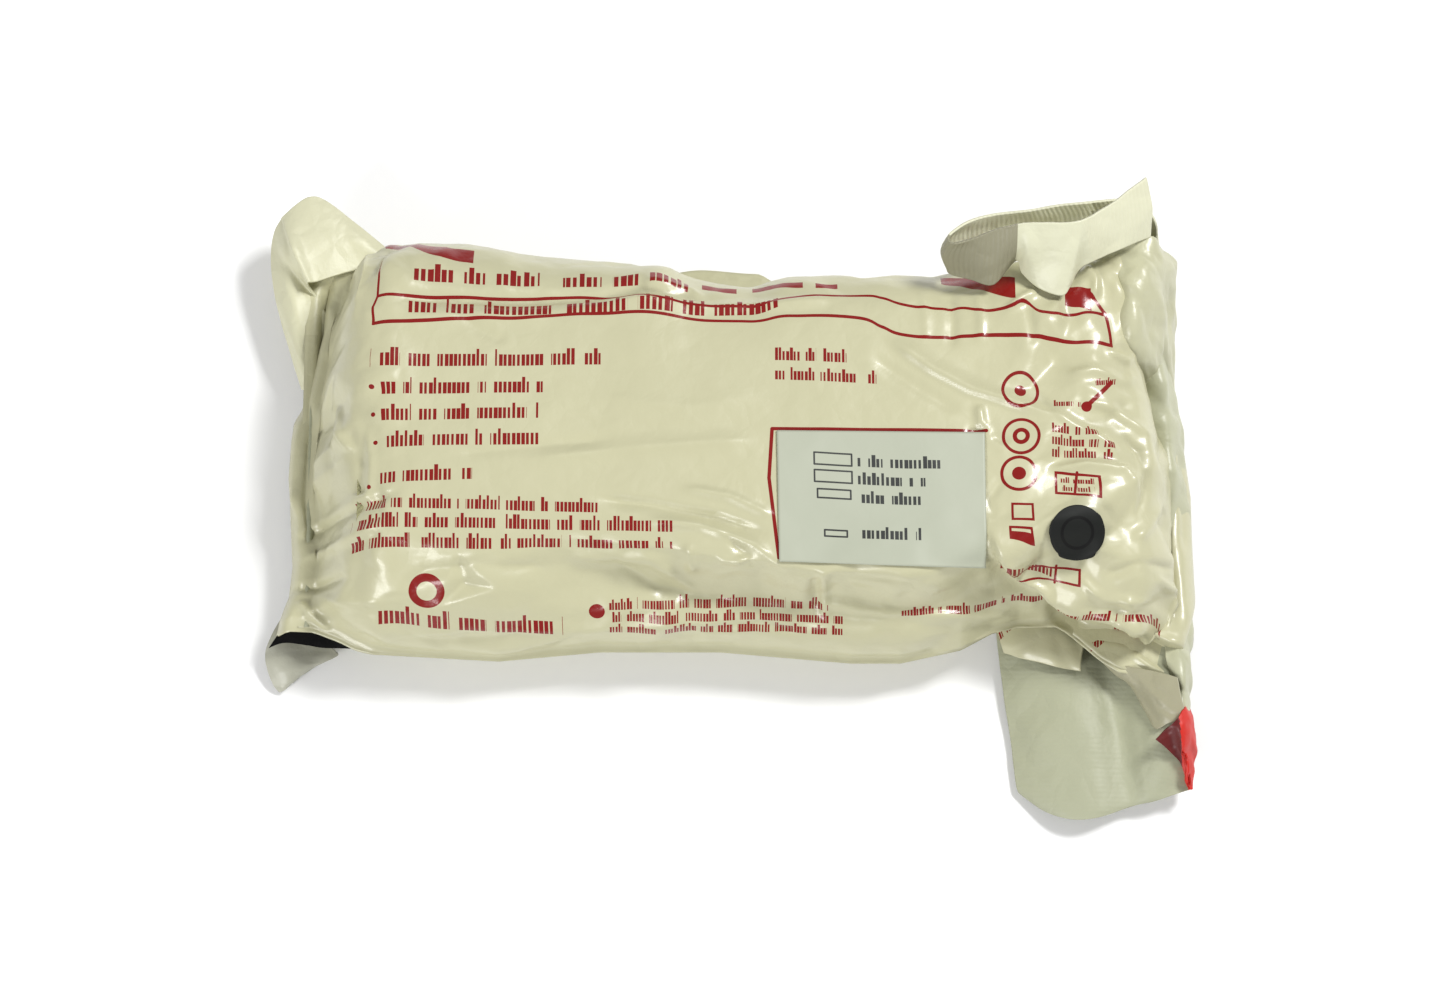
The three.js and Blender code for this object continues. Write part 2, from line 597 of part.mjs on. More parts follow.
// The pressure applicator: a flat frame with an open middle, on top of the roll.
function pressureApplicator() {
  const outline = roundedOutline(applicatorLength, applicatorDepth, applicatorRim);
  const inner = [applicatorLength, applicatorDepth].map((size) => size - 2 * applicatorRim);
  outline.holes.push(roundedOutline(inner[0], inner[1], applicatorRim / 2));
  return plate(outline, applicatorWall);
}

// The closure bar, at the bandage's free end on top of the roll.
function closureBar() {
  return plate(roundedOutline(barLength, barDepth, barDepth / 2 - gap), barWall);
}

function placeOnRoll(mesh, at) {
  mesh.position.set((at.x * wrapLength) / 2, (at.y * wrapDepth) / 2, wrapTop + gap);
}

function roundedOutline(length, depth, radius) {
  const [x, y] = [length / 2 - radius, depth / 2 - radius];
  const shape = new THREE.Shape();
  shape.absarc(x, y, radius, 0, Math.PI / 2);
  shape.absarc(-x, y, radius, Math.PI / 2, Math.PI);
  shape.absarc(-x, -y, radius, Math.PI, 1.5 * Math.PI);
  shape.absarc(x, -y, radius, 1.5 * Math.PI, 2 * Math.PI);
  return shape;
}

function plate(shape, wall) {
  const made = new THREE.ExtrudeGeometry(shape, {
    depth: wall,
    bevelEnabled: false,
    curveSegments: cornerSides,
  });
  return made;
}

add("front_film", frontFilm(), creamFilm);
add("back_film", backFilm(), creamFilm);
add("left_end_seal", leftEndSeal(), sealedFilm);
add("right_end_seal", rightEndSeal(), sealedFilm);
add("label", label(), paper);

// The disc lies square to the film under its middle.
const disc = add("round_sticker", roundSticker(), darkDisc);
const discX = discAt.x * halfLength;
const discY = discAt.y * halfDepth;
const discNormal = frontNormal(discX, discY, discRadius * 0.7);
disc.quaternion.setFromUnitVectors(new THREE.Vector3(0, 0, 1), discNormal);
disc.position.copy(frontAt(discX, discY)).addScaledVector(discNormal, discLift + discWall / 2);

// The roll stands on the back film where the end seals lift it, and the rest lies on the roll.
const wrap = add("elastic_wrap", elasticWrap(), elasticCloth);
wrap.position.set(rollAt.x * halfLength, rollAt.y * halfDepth, wrapMiddle);
const pad = add("wound_pad", woundPad(), padCloth);
pad.position.copy(wrap.position);
pad.position.z += (hollowRoof + hollowFloor) / 2;
const applicator = add("pressure_applicator", pressureApplicator(), mouldedPlastic);
placeOnRoll(applicator, applicatorAt);
const bar = add("closure_bar", closureBar(), mouldedPlastic);
placeOnRoll(bar, barAt);

// The origin is on the floor, under the middle of the whole thing.
const whole = new THREE.Box3().setFromObject(body);
const middle = whole.getCenter(new THREE.Vector3());
body.position.set(-middle.x, -middle.y, -whole.min.z);

export default part;
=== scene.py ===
# A vacuum-packed emergency trauma bandage: the looks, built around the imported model.
# The dictionaries hold millimetres in the pouch's own frame, and photo places in pixels of 1445 by 990.
import math
from functools import partial

import bpy
import numpy as np
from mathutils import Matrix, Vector
from mathutils.bvhtree import BVHTree
from mathutils.geometry import delaunay_2d_cdt


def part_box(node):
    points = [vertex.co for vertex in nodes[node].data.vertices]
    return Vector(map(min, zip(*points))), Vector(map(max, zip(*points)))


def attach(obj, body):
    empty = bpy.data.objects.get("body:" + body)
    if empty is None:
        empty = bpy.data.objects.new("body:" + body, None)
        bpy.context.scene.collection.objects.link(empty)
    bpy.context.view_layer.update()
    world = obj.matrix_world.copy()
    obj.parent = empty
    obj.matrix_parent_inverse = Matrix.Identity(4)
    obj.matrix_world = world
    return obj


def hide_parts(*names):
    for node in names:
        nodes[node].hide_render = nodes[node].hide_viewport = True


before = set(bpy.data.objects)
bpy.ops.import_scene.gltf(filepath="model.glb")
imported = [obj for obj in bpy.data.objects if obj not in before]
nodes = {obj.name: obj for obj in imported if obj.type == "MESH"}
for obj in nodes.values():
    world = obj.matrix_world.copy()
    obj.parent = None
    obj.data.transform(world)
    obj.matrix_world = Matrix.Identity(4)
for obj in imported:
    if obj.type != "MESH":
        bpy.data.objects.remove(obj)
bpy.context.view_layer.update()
mm = 0.001
quarterTurn = math.pi / 2

photo = {
    "scale": 0.19,  # millimetres for each pixel
    "middle": (735, 452),  # the pixel over the pouch's middle
    "level": 17.0,  # height that the middle is measured at
    "elevation": 72.0,
    "frame": (1445, 990),
    "lens": 130.0,
    "sensor": 36.0,
    "clip": (0.05, 20),
}

pouch = {
    "halfLength": 83.0,
    "halfDepth": 38.0,
    "height": 34.0,
    "weldLevel": 11.0,
    "filmWall": 0.8,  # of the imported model
    "gap": 0.3,
    "sideWeld": 1.2,
    "endWeld": 2.5,
    "ear": 10.0,
    "endRound": 17.0,
    "backRound": 9.0,
    "sealLift": 2.3,
    "sealRun": 20.0,
    "spacing": (1.12, 0.12),  # its columns lie closer together towards the ends
    "barPlace": (-0.18 * 71, 0.11 * 28),  # the closure bar's middle, which finds the pouch's own middle
}

film = {
    "columns": 334,
    "rows": 259,
    "sectionPoints": 260,
    "finPoints": 16,
    "skirtColumns": 12,
    "wall": 0.3,
    "under": 1.1,  # how deep the hidden inner face lies
    "coarse": 3,  # how much coarser it is
    "skirt": 3.2,  # how far the end flows out over the folded seal
    "skirtDrop": 7.5,
    "finSag": 1.1,
    "endPower": 0.72,  # how fast the section fills out from its ends
    "bulgeFull": 8.0,  # height over the weld where a bulge is whole
    "foldSharp": 1.6,
    "foldGain": 1.55,
    "calm": 0.3,  # how much crumpling the middle of the pouch keeps
}

# where the film's two ends show, as pixels from the far side to the near side
filmEnds = {
    "left": [(316, 262), (317, 285), (314, 305), (306, 330), (303, 360), (297, 390), (288, 440), (285, 500),
             (289, 560), (286, 600), (274, 641)],
    "right": [(1172, 246), (1177, 262), (1178, 282), (1173, 305), (1164, 332), (1181, 380), (1190, 440),
              (1195, 490), (1193, 560), (1191, 610), (1186, 660)],
    "level": 11.0,
    "from": 62.0,  # the ends are drawn in or out from here on
}

sinView = math.sin(math.radians(photo["elevation"]))
cosView = math.cos(math.radians(photo["elevation"]))
halfLength = pouch["halfLength"]
halfDepth = pouch["halfDepth"]
weldTop = pouch["weldLevel"] + pouch["gap"] / 2 + pouch["filmWall"]

barLow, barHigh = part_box("closure_bar")
pouchMiddle = Vector((
    (barLow.x + barHigh.x) / 2 - pouch["barPlace"][0] * mm,
    (barLow.y + barHigh.y) / 2 - pouch["barPlace"][1] * mm,
    0,
))


def smooth(low, high, value):
    t = np.clip((value - low) / (high - low), 0, 1)
    return t * t * (3 - 2 * t)


def mix(a, b, t):
    return a + (b - a) * t


def toPhoto(points):
    # where points in the pouch's frame show in the photo
    px = photo["middle"][0] + points[..., 0] / photo["scale"]
    v = sinView * points[..., 1] + cosView * (points[..., 2] - photo["level"])
    return np.stack([px, photo["middle"][1] - v / photo["scale"]], -1)


def fromPhoto(px, py, z):
    v = (photo["middle"][1] - py) * photo["scale"]
    x = (px - photo["middle"][0]) * photo["scale"]
    return np.array([x, (v - cosView * (z - photo["level"])) / sinView, z])


def curveThrough(rows, share):
    # a smooth curve through rows of values, share running from 0 to 1
    rows = np.asarray(rows, float)
    place = np.clip(share, 0, 1) * (len(rows) - 1)
    at = np.minimum(place.astype(int), len(rows) - 2)
    near = [rows[np.clip(at + step, 0, len(rows) - 1)] for step in (-1, 0, 1, 2)]
    t = (place - at).reshape(place.shape + (1,) * (rows.ndim - 1))
    pull, push = (near[2] - near[0]) / 2, (near[3] - near[1]) / 2
    blend = (2 * t**3 - 3 * t**2 + 1, t**3 - 2 * t**2 + t, 3 * t**2 - 2 * t**3, t**3 - t**2)
    return blend[0] * near[1] + blend[1] * pull + blend[2] * near[2] + blend[3] * push


def gridNormals(grid):
    normal = np.cross(np.gradient(grid, axis=1), np.gradient(grid, axis=0))
    size = np.linalg.norm(normal, axis=-1, keepdims=True)
    return normal / np.maximum(size, 1e-9)


def blurred(field, cells):
    # a Gaussian blur over a grid, its border repeated
    reach = max(1, int(cells * 3))
    weight = np.exp(-0.5 * (np.arange(-reach, reach + 1) / cells) ** 2)
    weight /= weight.sum()
    for axis in (0, 1):
        pad = [(reach, reach) if a == axis else (0, 0) for a in range(field.ndim)]
        padded = np.pad(field, pad, mode="edge")
        size = field.shape[axis]
        field = sum(w * np.take(padded, range(k, k + size), axis) for k, w in enumerate(weight))
    return field


def linkObject(name, data):
    thing = bpy.data.objects.new(name, data)
    bpy.context.scene.collection.objects.link(thing)
    return thing


def dressedPiece(node, mesh, looks):
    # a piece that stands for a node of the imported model, with its materials
    piece = linkObject(node + "_dressed", mesh)
    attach(piece, "root")
    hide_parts(node)
    for look in looks:
        piece.data.materials.append(look)
    return piece


def quadsOf(number):
    return np.stack([number[:-1, :-1], number[:-1, 1:], number[1:, 1:], number[1:, :-1]], -1).reshape(-1, 4)


def borderOf(number):
    return np.concatenate([number[0, :-1], number[:-1, -1], number[-1, :0:-1], number[:0:-1, 0]])


def numbered(shape, start=0):
    return np.arange(shape[0] * shape[1]).reshape(shape[:2]) + start


def coarseBacked(grid, inner, step, flat):
    # a sheet with a coarser inner face, which stays well under the folds
    rows, columns = grid.shape[:2]
    calmed = blurred(grid, 2.0)
    deep = calmed - gridNormals(calmed) * film["under"]
    down, along = np.arange(rows)[:, None], np.arange(columns)[None]
    edge = np.minimum.reduce(np.broadcast_arrays(down, down[::-1], along, along[:, ::-1]))
    inner = mix(inner, deep, smooth(0, 2 * step, edge)[..., None])[::step, ::step]
    number, under = numbered(grid.shape), numbered(inner.shape, rows * columns)
    border, lower = borderOf(number), borderOf(under)
    rim = [border[::step], lower, np.roll(lower, -1), np.roll(border, -step)[::step]]
    rim += [np.roll(border, -k)[::step] for k in range(step - 1, 0, -1)]
    faces = [quadsOf(number), quadsOf(under)[:, ::-1], np.stack(rim, -1)]
    points = np.concatenate([grid.reshape(-1, 3), inner.reshape(-1, 3)])
    return points, faces, np.concatenate([flat.reshape(-1, 2), flat[::step, ::step].reshape(-1, 2)])


def sheetPart(grid, wall, flat, coarse=1):
    # one closed sheet as points, faces and flat places: the grid is its outer face, rows from near to far
    inner = grid - gridNormals(grid) * wall
    if coarse > 1:
        return coarseBacked(grid, inner, coarse, flat)
    points = np.concatenate([grid.reshape(-1, 3), inner.reshape(-1, 3)])
    number, count = numbered(grid.shape), len(points) // 2
    quads, rim = quadsOf(number), borderOf(number)
    onward = np.roll(rim, -1)
    faces = [quads, quads[:, ::-1] + count, np.stack([rim, rim + count, onward + count, onward], -1)]
    return points, faces, np.concatenate([flat.reshape(-1, 2)] * 2)


def meshOf(name, parts, looks=None):
    # joins closed sheets into one mesh in metres, in the frame's place, with their flat places as a map;
    # looks has a material number or a function of the faces' corners for each sheet, or one function for all
    points, faces, flat, look, start = [], [], [], [], 0
    for number, part in enumerate(parts):
        points.append(part[0])
        flat.append(part[2])
        for some in part[1]:
            faces.append(some + start)
            pick = looks[number] if isinstance(looks, list) else looks
            look.append(pick(part[0][some]) if callable(pick) else np.full(len(some), pick or 0))
        start += len(part[0])
    points, flat = np.concatenate(points), np.concatenate(flat)
    corners = np.concatenate([some.ravel() for some in faces])
    sizes = np.concatenate([np.full(len(some), some.shape[1]) for some in faces])
    mesh = bpy.data.meshes.new(name)
    mesh.vertices.add(len(points))
    mesh.vertices.foreach_set("co", (points * mm + np.array(pouchMiddle)).ravel())
    mesh.loops.add(len(corners))
    mesh.loops.foreach_set("vertex_index", corners)
    mesh.polygons.add(len(sizes))
    mesh.polygons.foreach_set("loop_start", np.cumsum(sizes) - sizes)
    mesh.polygons.foreach_set("material_index", np.concatenate(look).astype(np.int32))
    mesh.update(calc_edges=True)
    mesh.validate()
    layer = mesh.uv_layers.new(name="flat")
    layer.uv.foreach_set("vector", (flat[corners] * mm).astype(np.float32).ravel())
    mesh.shade_smooth()
    return mesh


# The body from the left end to the right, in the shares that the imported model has
stationNames = ("at", "near", "far", "top", "nearEar", "farEar", "shelf")
stations = np.array([
    (-1, 0.88, 0.95, 0.95, 0.15, 0.5, 0),
    (-0.96, 0.92, 0.98, 0.95, 0.15, 0.5, 0.1),
    (-0.88, 0.95, 1.02, 0.96, 0.08, 0.3, 0.15),
    (-0.79, 0.97, 1.04, 0.97, 0, 0.1, 0.2),
    (-0.54, 1, 1.04, 0.98, 0, 0, 0.35),
    (-0.31, 0.96, 0.99, 0.98, 0, 0, 0.6),
    (-0.2, 0.94, 0.95, 0.985, 0, 0.05, 0.8),
    (-0.08, 0.94, 0.92, 0.985, 0, 0.3, 0.9),
    (0.05, 0.96, 0.9, 0.99, 0, 0.3, 1),
    (0.11, 0.98, 0.89, 0.99, 0, 0.1, 1),
    (0.26, 1.02, 0.88, 0.995, 0, 0, 1),
    (0.4, 1.01, 0.87, 1, 0, 0, 1),
    (0.6, 0.89, 0.87, 1, 0, 0, 0.9),
    (0.7, 0.86, 0.88, 1, 0, 0, 0.7),
    (0.78, 0.9, 0.91, 1, 0.3, 0.1, 0.5),
    (0.88, 0.95, 0.94, 0.98, 0.7, 0.2, 0.3),
    (1, 0.92, 0.89, 0.96, 0.8, 0, 0),
])

# Across the body from the near edge: how far over and how high, without and with the near step
frontSection = [
    (0, 0, 0, 0),
    (0.004, 0.17, 0.004, 0.13),
    (0.022, 0.38, 0.014, 0.25),
    (0.065, 0.62, 0.04, 0.36),
    (0.12, 0.81, 0.078, 0.43),
    (0.18, 0.92, 0.102, 0.58),
    (0.24, 0.965, 0.124, 0.84),
    (0.33, 0.99, 0.17, 0.965),
    (0.5, 1, 0.4, 1),
    (0.68, 0.99, 0.68, 0.99),
    (0.8, 0.955, 0.8, 0.955),
    (0.88, 0.88, 0.88, 0.88),
    (0.93, 0.75, 0.93, 0.75),
    (0.963, 0.55, 0.963, 0.55),
    (0.985, 0.3, 0.985, 0.3),
    (0.996, 0.13, 0.996, 0.13),
    (1, 0, 1, 0),
]

# Corners of the film that stand out: place and reach in pixels, how far up and out in mm
filmBulges = [
    {"at": (1150, 268), "reach": (60, 60), "shift": (0.5, 1.0, 3.0)},
    {"at": (1130, 640), "reach": (70, 46), "shift": (0.0, -0.6, 2.2)},
]
# how short the film's drop to its end is at the far corners, and where they are full
cornerRound = {"left": 7.5, "right": 6.5, "low": 0.7, "from": (8, 28)}

# where the film's far side shows
farOutline = [(286, 300), (330, 250), (345, 238), (362, 236), (382, 237), (400, 239), (450, 246), (520, 256),
              (600, 263), (640, 268), (700, 272), (780, 277), (860, 279), (945, 279), (975, 272),
              (1000, 262), (1015, 258), (1035, 260), (1050, 268), (1070, 270), (1085, 262), (1101, 256),
              (1125, 248), (1149, 241), (1164, 248), (1175, 262), (1184, 300)]

# where the film's near edge shows
nearEdge = [(270, 640), (288, 631), (314, 632), (340, 642), (356, 650), (372, 654), (500, 661), (600, 652),
            (720, 652), (850, 663), (900, 663), (960, 650), (990, 634), (1017, 626), (1056, 628),
            (1075, 640), (1098, 660), (1118, 672), (1153, 675), (1171, 686), (1190, 706)]


def station(name, at):
    # a column of the table at places along the pouch, eased between the rows
    keys, values = stations[:, 0], stations[:, stationNames.index(name)]
    index = np.clip(np.searchsorted(keys, at, side="right") - 1, 0, len(keys) - 2)
    t = np.clip((at - keys[index]) / (keys[index + 1] - keys[index]), 0, 1)
    return mix(values[index], values[index + 1], t * t * (3 - 2 * t))


def alongPouch(columns):
    side = np.linspace(-1, 1, columns)
    return halfLength * (side * pouch["spacing"][0] - pouch["spacing"][1] * side**3)


def bodyEdges(xs):
    # the body's near and far edge, and how far the welds and ears stand out past them
    at = xs / halfLength
    nearFin, farFin = (pouch["sideWeld"] + pouch["ear"] * station(name, at) for name in ("nearEar", "farEar"))
    return -halfDepth * station("near", at), halfDepth * station("far", at), nearFin, farFin


def sectionLine(x, y, z, edges, fin, level):
    # one line across the body, from the near fin's end to the far fin's
    near, far, nearFin, farFin = edges
    before = np.stack([np.full(len(fin), x), near - fin * nearFin, level], -1)
    middle = np.stack([np.full(len(y), x), y, z], -1)
    after = np.stack([np.full(len(fin), x), far + fin * farFin, level], -1)[::-1]
    return np.concatenate([before, middle, after])


def evenRows(lines, rows):
    # each line of points resampled to rows that lie evenly along it, with the length so far
    made, length = [], []
    for line in lines:
        run = np.concatenate([[0], np.cumsum(np.linalg.norm(np.diff(line, axis=0), axis=1))])
        want = np.linspace(0, run[-1], rows)
        made.append(np.stack([np.interp(want, run, line[:, k]) for k in range(3)], -1))
        length.append(want)
    return np.stack(made, 1), np.stack(length, 1)


def filmSection(xs, edges):
    # across and height of the body's front at each column
    near, far = edges[:2]
    top = pouch["height"] * station("top", xs / halfLength)
    shelf = station("shelf", xs / halfLength)[:, None]
    inward = np.clip((halfLength - pouch["endWeld"] - np.abs(xs)) / pouch["endRound"], 0, 1)
    full = np.sin(quarterTurn * inward ** film["endPower"])
    share = np.linspace(0, 1, film["sectionPoints"])
    section = curveThrough(frontSection, share)
    over = mix(section[:, 0], section[:, 2], shelf)
    rise = mix(section[:, 1], section[:, 3], shelf)
    bend = np.clip(full * 1.5, 0, 1)[:, None]
    y = mix(near[:, None], far[:, None], mix(share[None], over, bend))
    z = weldTop + rise * full[:, None] * (top[:, None] - weldTop)
    # the far corners stay full almost to the end
    for side, key in ((-1, "left"), (1, "right")):
        away = np.clip((halfLength - pouch["endWeld"] * 0.5 - side * xs) / cornerRound[key], 0, 1)
        fuller = np.maximum(np.sin(quarterTurn * away ** film["endPower"]), full)
        more = (fuller - full)[:, None] * rise * (top[:, None] - weldTop) * (side * xs > 0)[:, None]
        z += more * np.maximum(smooth(*cornerRound["from"], y), cornerRound["low"] * (side > 0))
    return y, z


def drawnToPhoto(grid, xs, length):
    # the smooth form moved to the outlines that the photo shows
    for side, ends in ((-1, filmEnds["left"]), (1, filmEnds["right"])):
        places = np.array([fromPhoto(px, py, filmEnds["level"]) for px, py in ends])[::-1]
        wanted = np.interp(grid[..., 1], places[:, 1], places[:, 0] * side)
        weight = smooth(filmEnds["from"], xs[-1], side * grid[..., 0])
        grid[..., 0] += side * (wanted - xs[-1]) * weight
    seen = toPhoto(grid)
    high = smooth(weldTop, weldTop + film["bulgeFull"], grid[..., 2])
    for bulge in filmBulges:
        away = np.hypot(*((seen[..., k] - bulge["at"][k]) / bulge["reach"][k] for k in (0, 1)))
        grid += (smooth(1, 0.1, away) * high)[..., None] * np.array(bulge["shift"])
    # the far side is drawn to its outline, the plateau and the weld stay
    seen = toPhoto(grid)
    row, columns = np.argmin(seen[..., 1], 0), np.arange(len(xs))
    wanted = np.interp(seen[row, columns, 0], *np.array(farOutline, float).T)
    pull = (seen[row, columns, 1] - wanted) * photo["scale"]
    pull = np.convolve(np.pad(pull, 3, mode="edge"), np.ones(7) / 7, mode="valid")
    reach = smooth(6, 30, grid[..., 1]) * smooth(weldTop - 1, weldTop + 7, grid[..., 2])
    grid += (pull[None] * reach)[..., None] * np.array([0, sinView, cosView])
    # the near edge is drawn to its place, less and less further in
    seen = toPhoto(grid)
    pull = (seen[0, :, 1] - np.interp(seen[0, :, 0], *np.array(nearEdge, float).T)) * photo["scale"]
    grid[..., 1] += pull[None] * smooth(17, 3, length) / sinView
    return grid


def bodyFrame():
    # the film's smooth form before its folds, as rows from near to far and columns from left to right
    inner = alongPouch(film["columns"] - 2 * film["skirtColumns"])
    turn = np.linspace(1, 0, film["skirtColumns"], endpoint=False)
    out = film["skirt"] * np.sin(turn * quarterTurn)
    drop = film["skirtDrop"] * (1 - np.cos(turn * quarterTurn))
    xs = np.concatenate([-halfLength - out, inner, halfLength + out[::-1]])
    drops = np.concatenate([drop, np.zeros(len(inner)), drop[::-1]])
    edges = bodyEdges(xs)
    y, z = filmSection(xs, edges)
    fin = np.linspace(1, 0, film["finPoints"], endpoint=False)
    level = weldTop - film["finSag"] * np.sin(fin * quarterTurn)
    lines = []
    for k, x in enumerate(xs):
        line = sectionLine(x, y[k], z[k], [edge[k] for edge in edges], fin, level)
        line[:, 2] -= drops[k]
        lines.append(line)
    grid, length = evenRows(lines, film["rows"])
    grid = drawnToPhoto(grid, xs, length)
    # flat places: along the pouch, and along the film from its middle line
    zero = np.array([np.interp(0, grid[:, k, 1], length[:, k]) for k in range(len(xs))])
    return grid, np.stack([np.broadcast_to(xs, length.shape), length - zero], -1)


def pathDistance(points, path):
    # distance from points to a path, the side it lies on, and the share of the way along
    best = np.full(points.shape[:-1], 1e9)
    side, share = np.zeros_like(best), np.zeros_like(best)
    path = np.asarray(path, float)
    step = np.diff(path, axis=0)
    size = np.linalg.norm(step, axis=1)
    done = 0.0
    for k, way in enumerate(step):
        away = points - path[k]
        t = np.clip((away @ way) / (way @ way), 0, 1)
        distance = np.linalg.norm(away - t[..., None] * way, axis=-1)
        closer = distance < best
        turned = np.sign(way[0] * away[..., 1] - way[1] * away[..., 0])
        best = np.where(closer, distance, best)
        side = np.where(closer, turned, side)
        share = np.where(closer, (done + t * size[k]) / size.sum(), share)
        done += size[k]
    return best * photo["scale"], side, share


def foldLift(points, width, lift, path, lean=0.0, ends=0.18):
    # a ridge or valley along a path: sharp on top, leaning to one side, and it dies out at its ends
    distance, side, share = pathDistance(points, path)
    taper = smooth(0, ends, share) * smooth(0, ends, 1 - share)
    reach = np.clip(1 - distance / (width * (1 + lean * side)), 0, 1)
    return lift * taper * reach ** film["foldSharp"]


# The film's right part lies over its near part along this edge, the higher side on the path's left
filmStep = {
    "path": [(978, 520), (990, 548), (1010, 572), (1046, 596), (1084, 612), (1126, 626), (1182, 652)],
    "lift": 2.8,
    "fade": 12.0,
    "edge": (-0.45, 0.15),
    "rim": (0.28, 0.7, 0.9),  # its height, place and width
    "trough": (0.3, 1.6, 1.6),
}


def stepLift(points):
    distance, side, share = pathDistance(points, filmStep["path"])
    taper = smooth(0, 0.2, share) * smooth(0, 0.06, 1 - share)
    signed = -distance * side
    up = smooth(*filmStep["edge"], signed) * np.exp(-np.clip(signed, 0, None) / filmStep["fade"])
    height, place, width = filmStep["rim"]
    rim = height * np.exp(-(((signed - place) / width) ** 2))
    height, place, width = filmStep["trough"]
    trough = height * np.exp(-(((signed + place) / width) ** 2)) * (signed < 0)
    return filmStep["lift"] * taper * (up + rim - trough)


def crumpled(flat, cell, seed, shape=(1.0, 1.0)):
    # facets between scattered points of random height, from -1 to 1
    rng = np.random.default_rng(seed)
    low, high = flat.reshape(-1, 2).min(0) - 2 * cell, flat.reshape(-1, 2).max(0) + 2 * cell
    xs = np.arange(low[0], high[0], cell * shape[0])
    ys = np.arange(low[1], high[1], cell * shape[1])
    spots = np.stack(np.meshgrid(xs, ys), -1).reshape(-1, 2)
    spots = spots + rng.uniform(-0.42, 0.42, spots.shape) * cell * np.array(shape)
    heights = rng.uniform(-1, 1, len(spots))
    made = delaunay_2d_cdt([Vector(spot) for spot in spots], [], [], 0, 1e-6)
    corners = [Vector((spot.x, spot.y, heights[made[3][k][0]])) for k, spot in enumerate(made[0])]
    tree = BVHTree.FromPolygons(corners, made[2])
    field = np.zeros(flat.shape[:2])
    for index in np.ndindex(field.shape):
        spot = tree.ray_cast(Vector((*flat[index], 5)), Vector((0, 0, -1)))[0]
        field[index] = spot.z if spot else 0
    return field


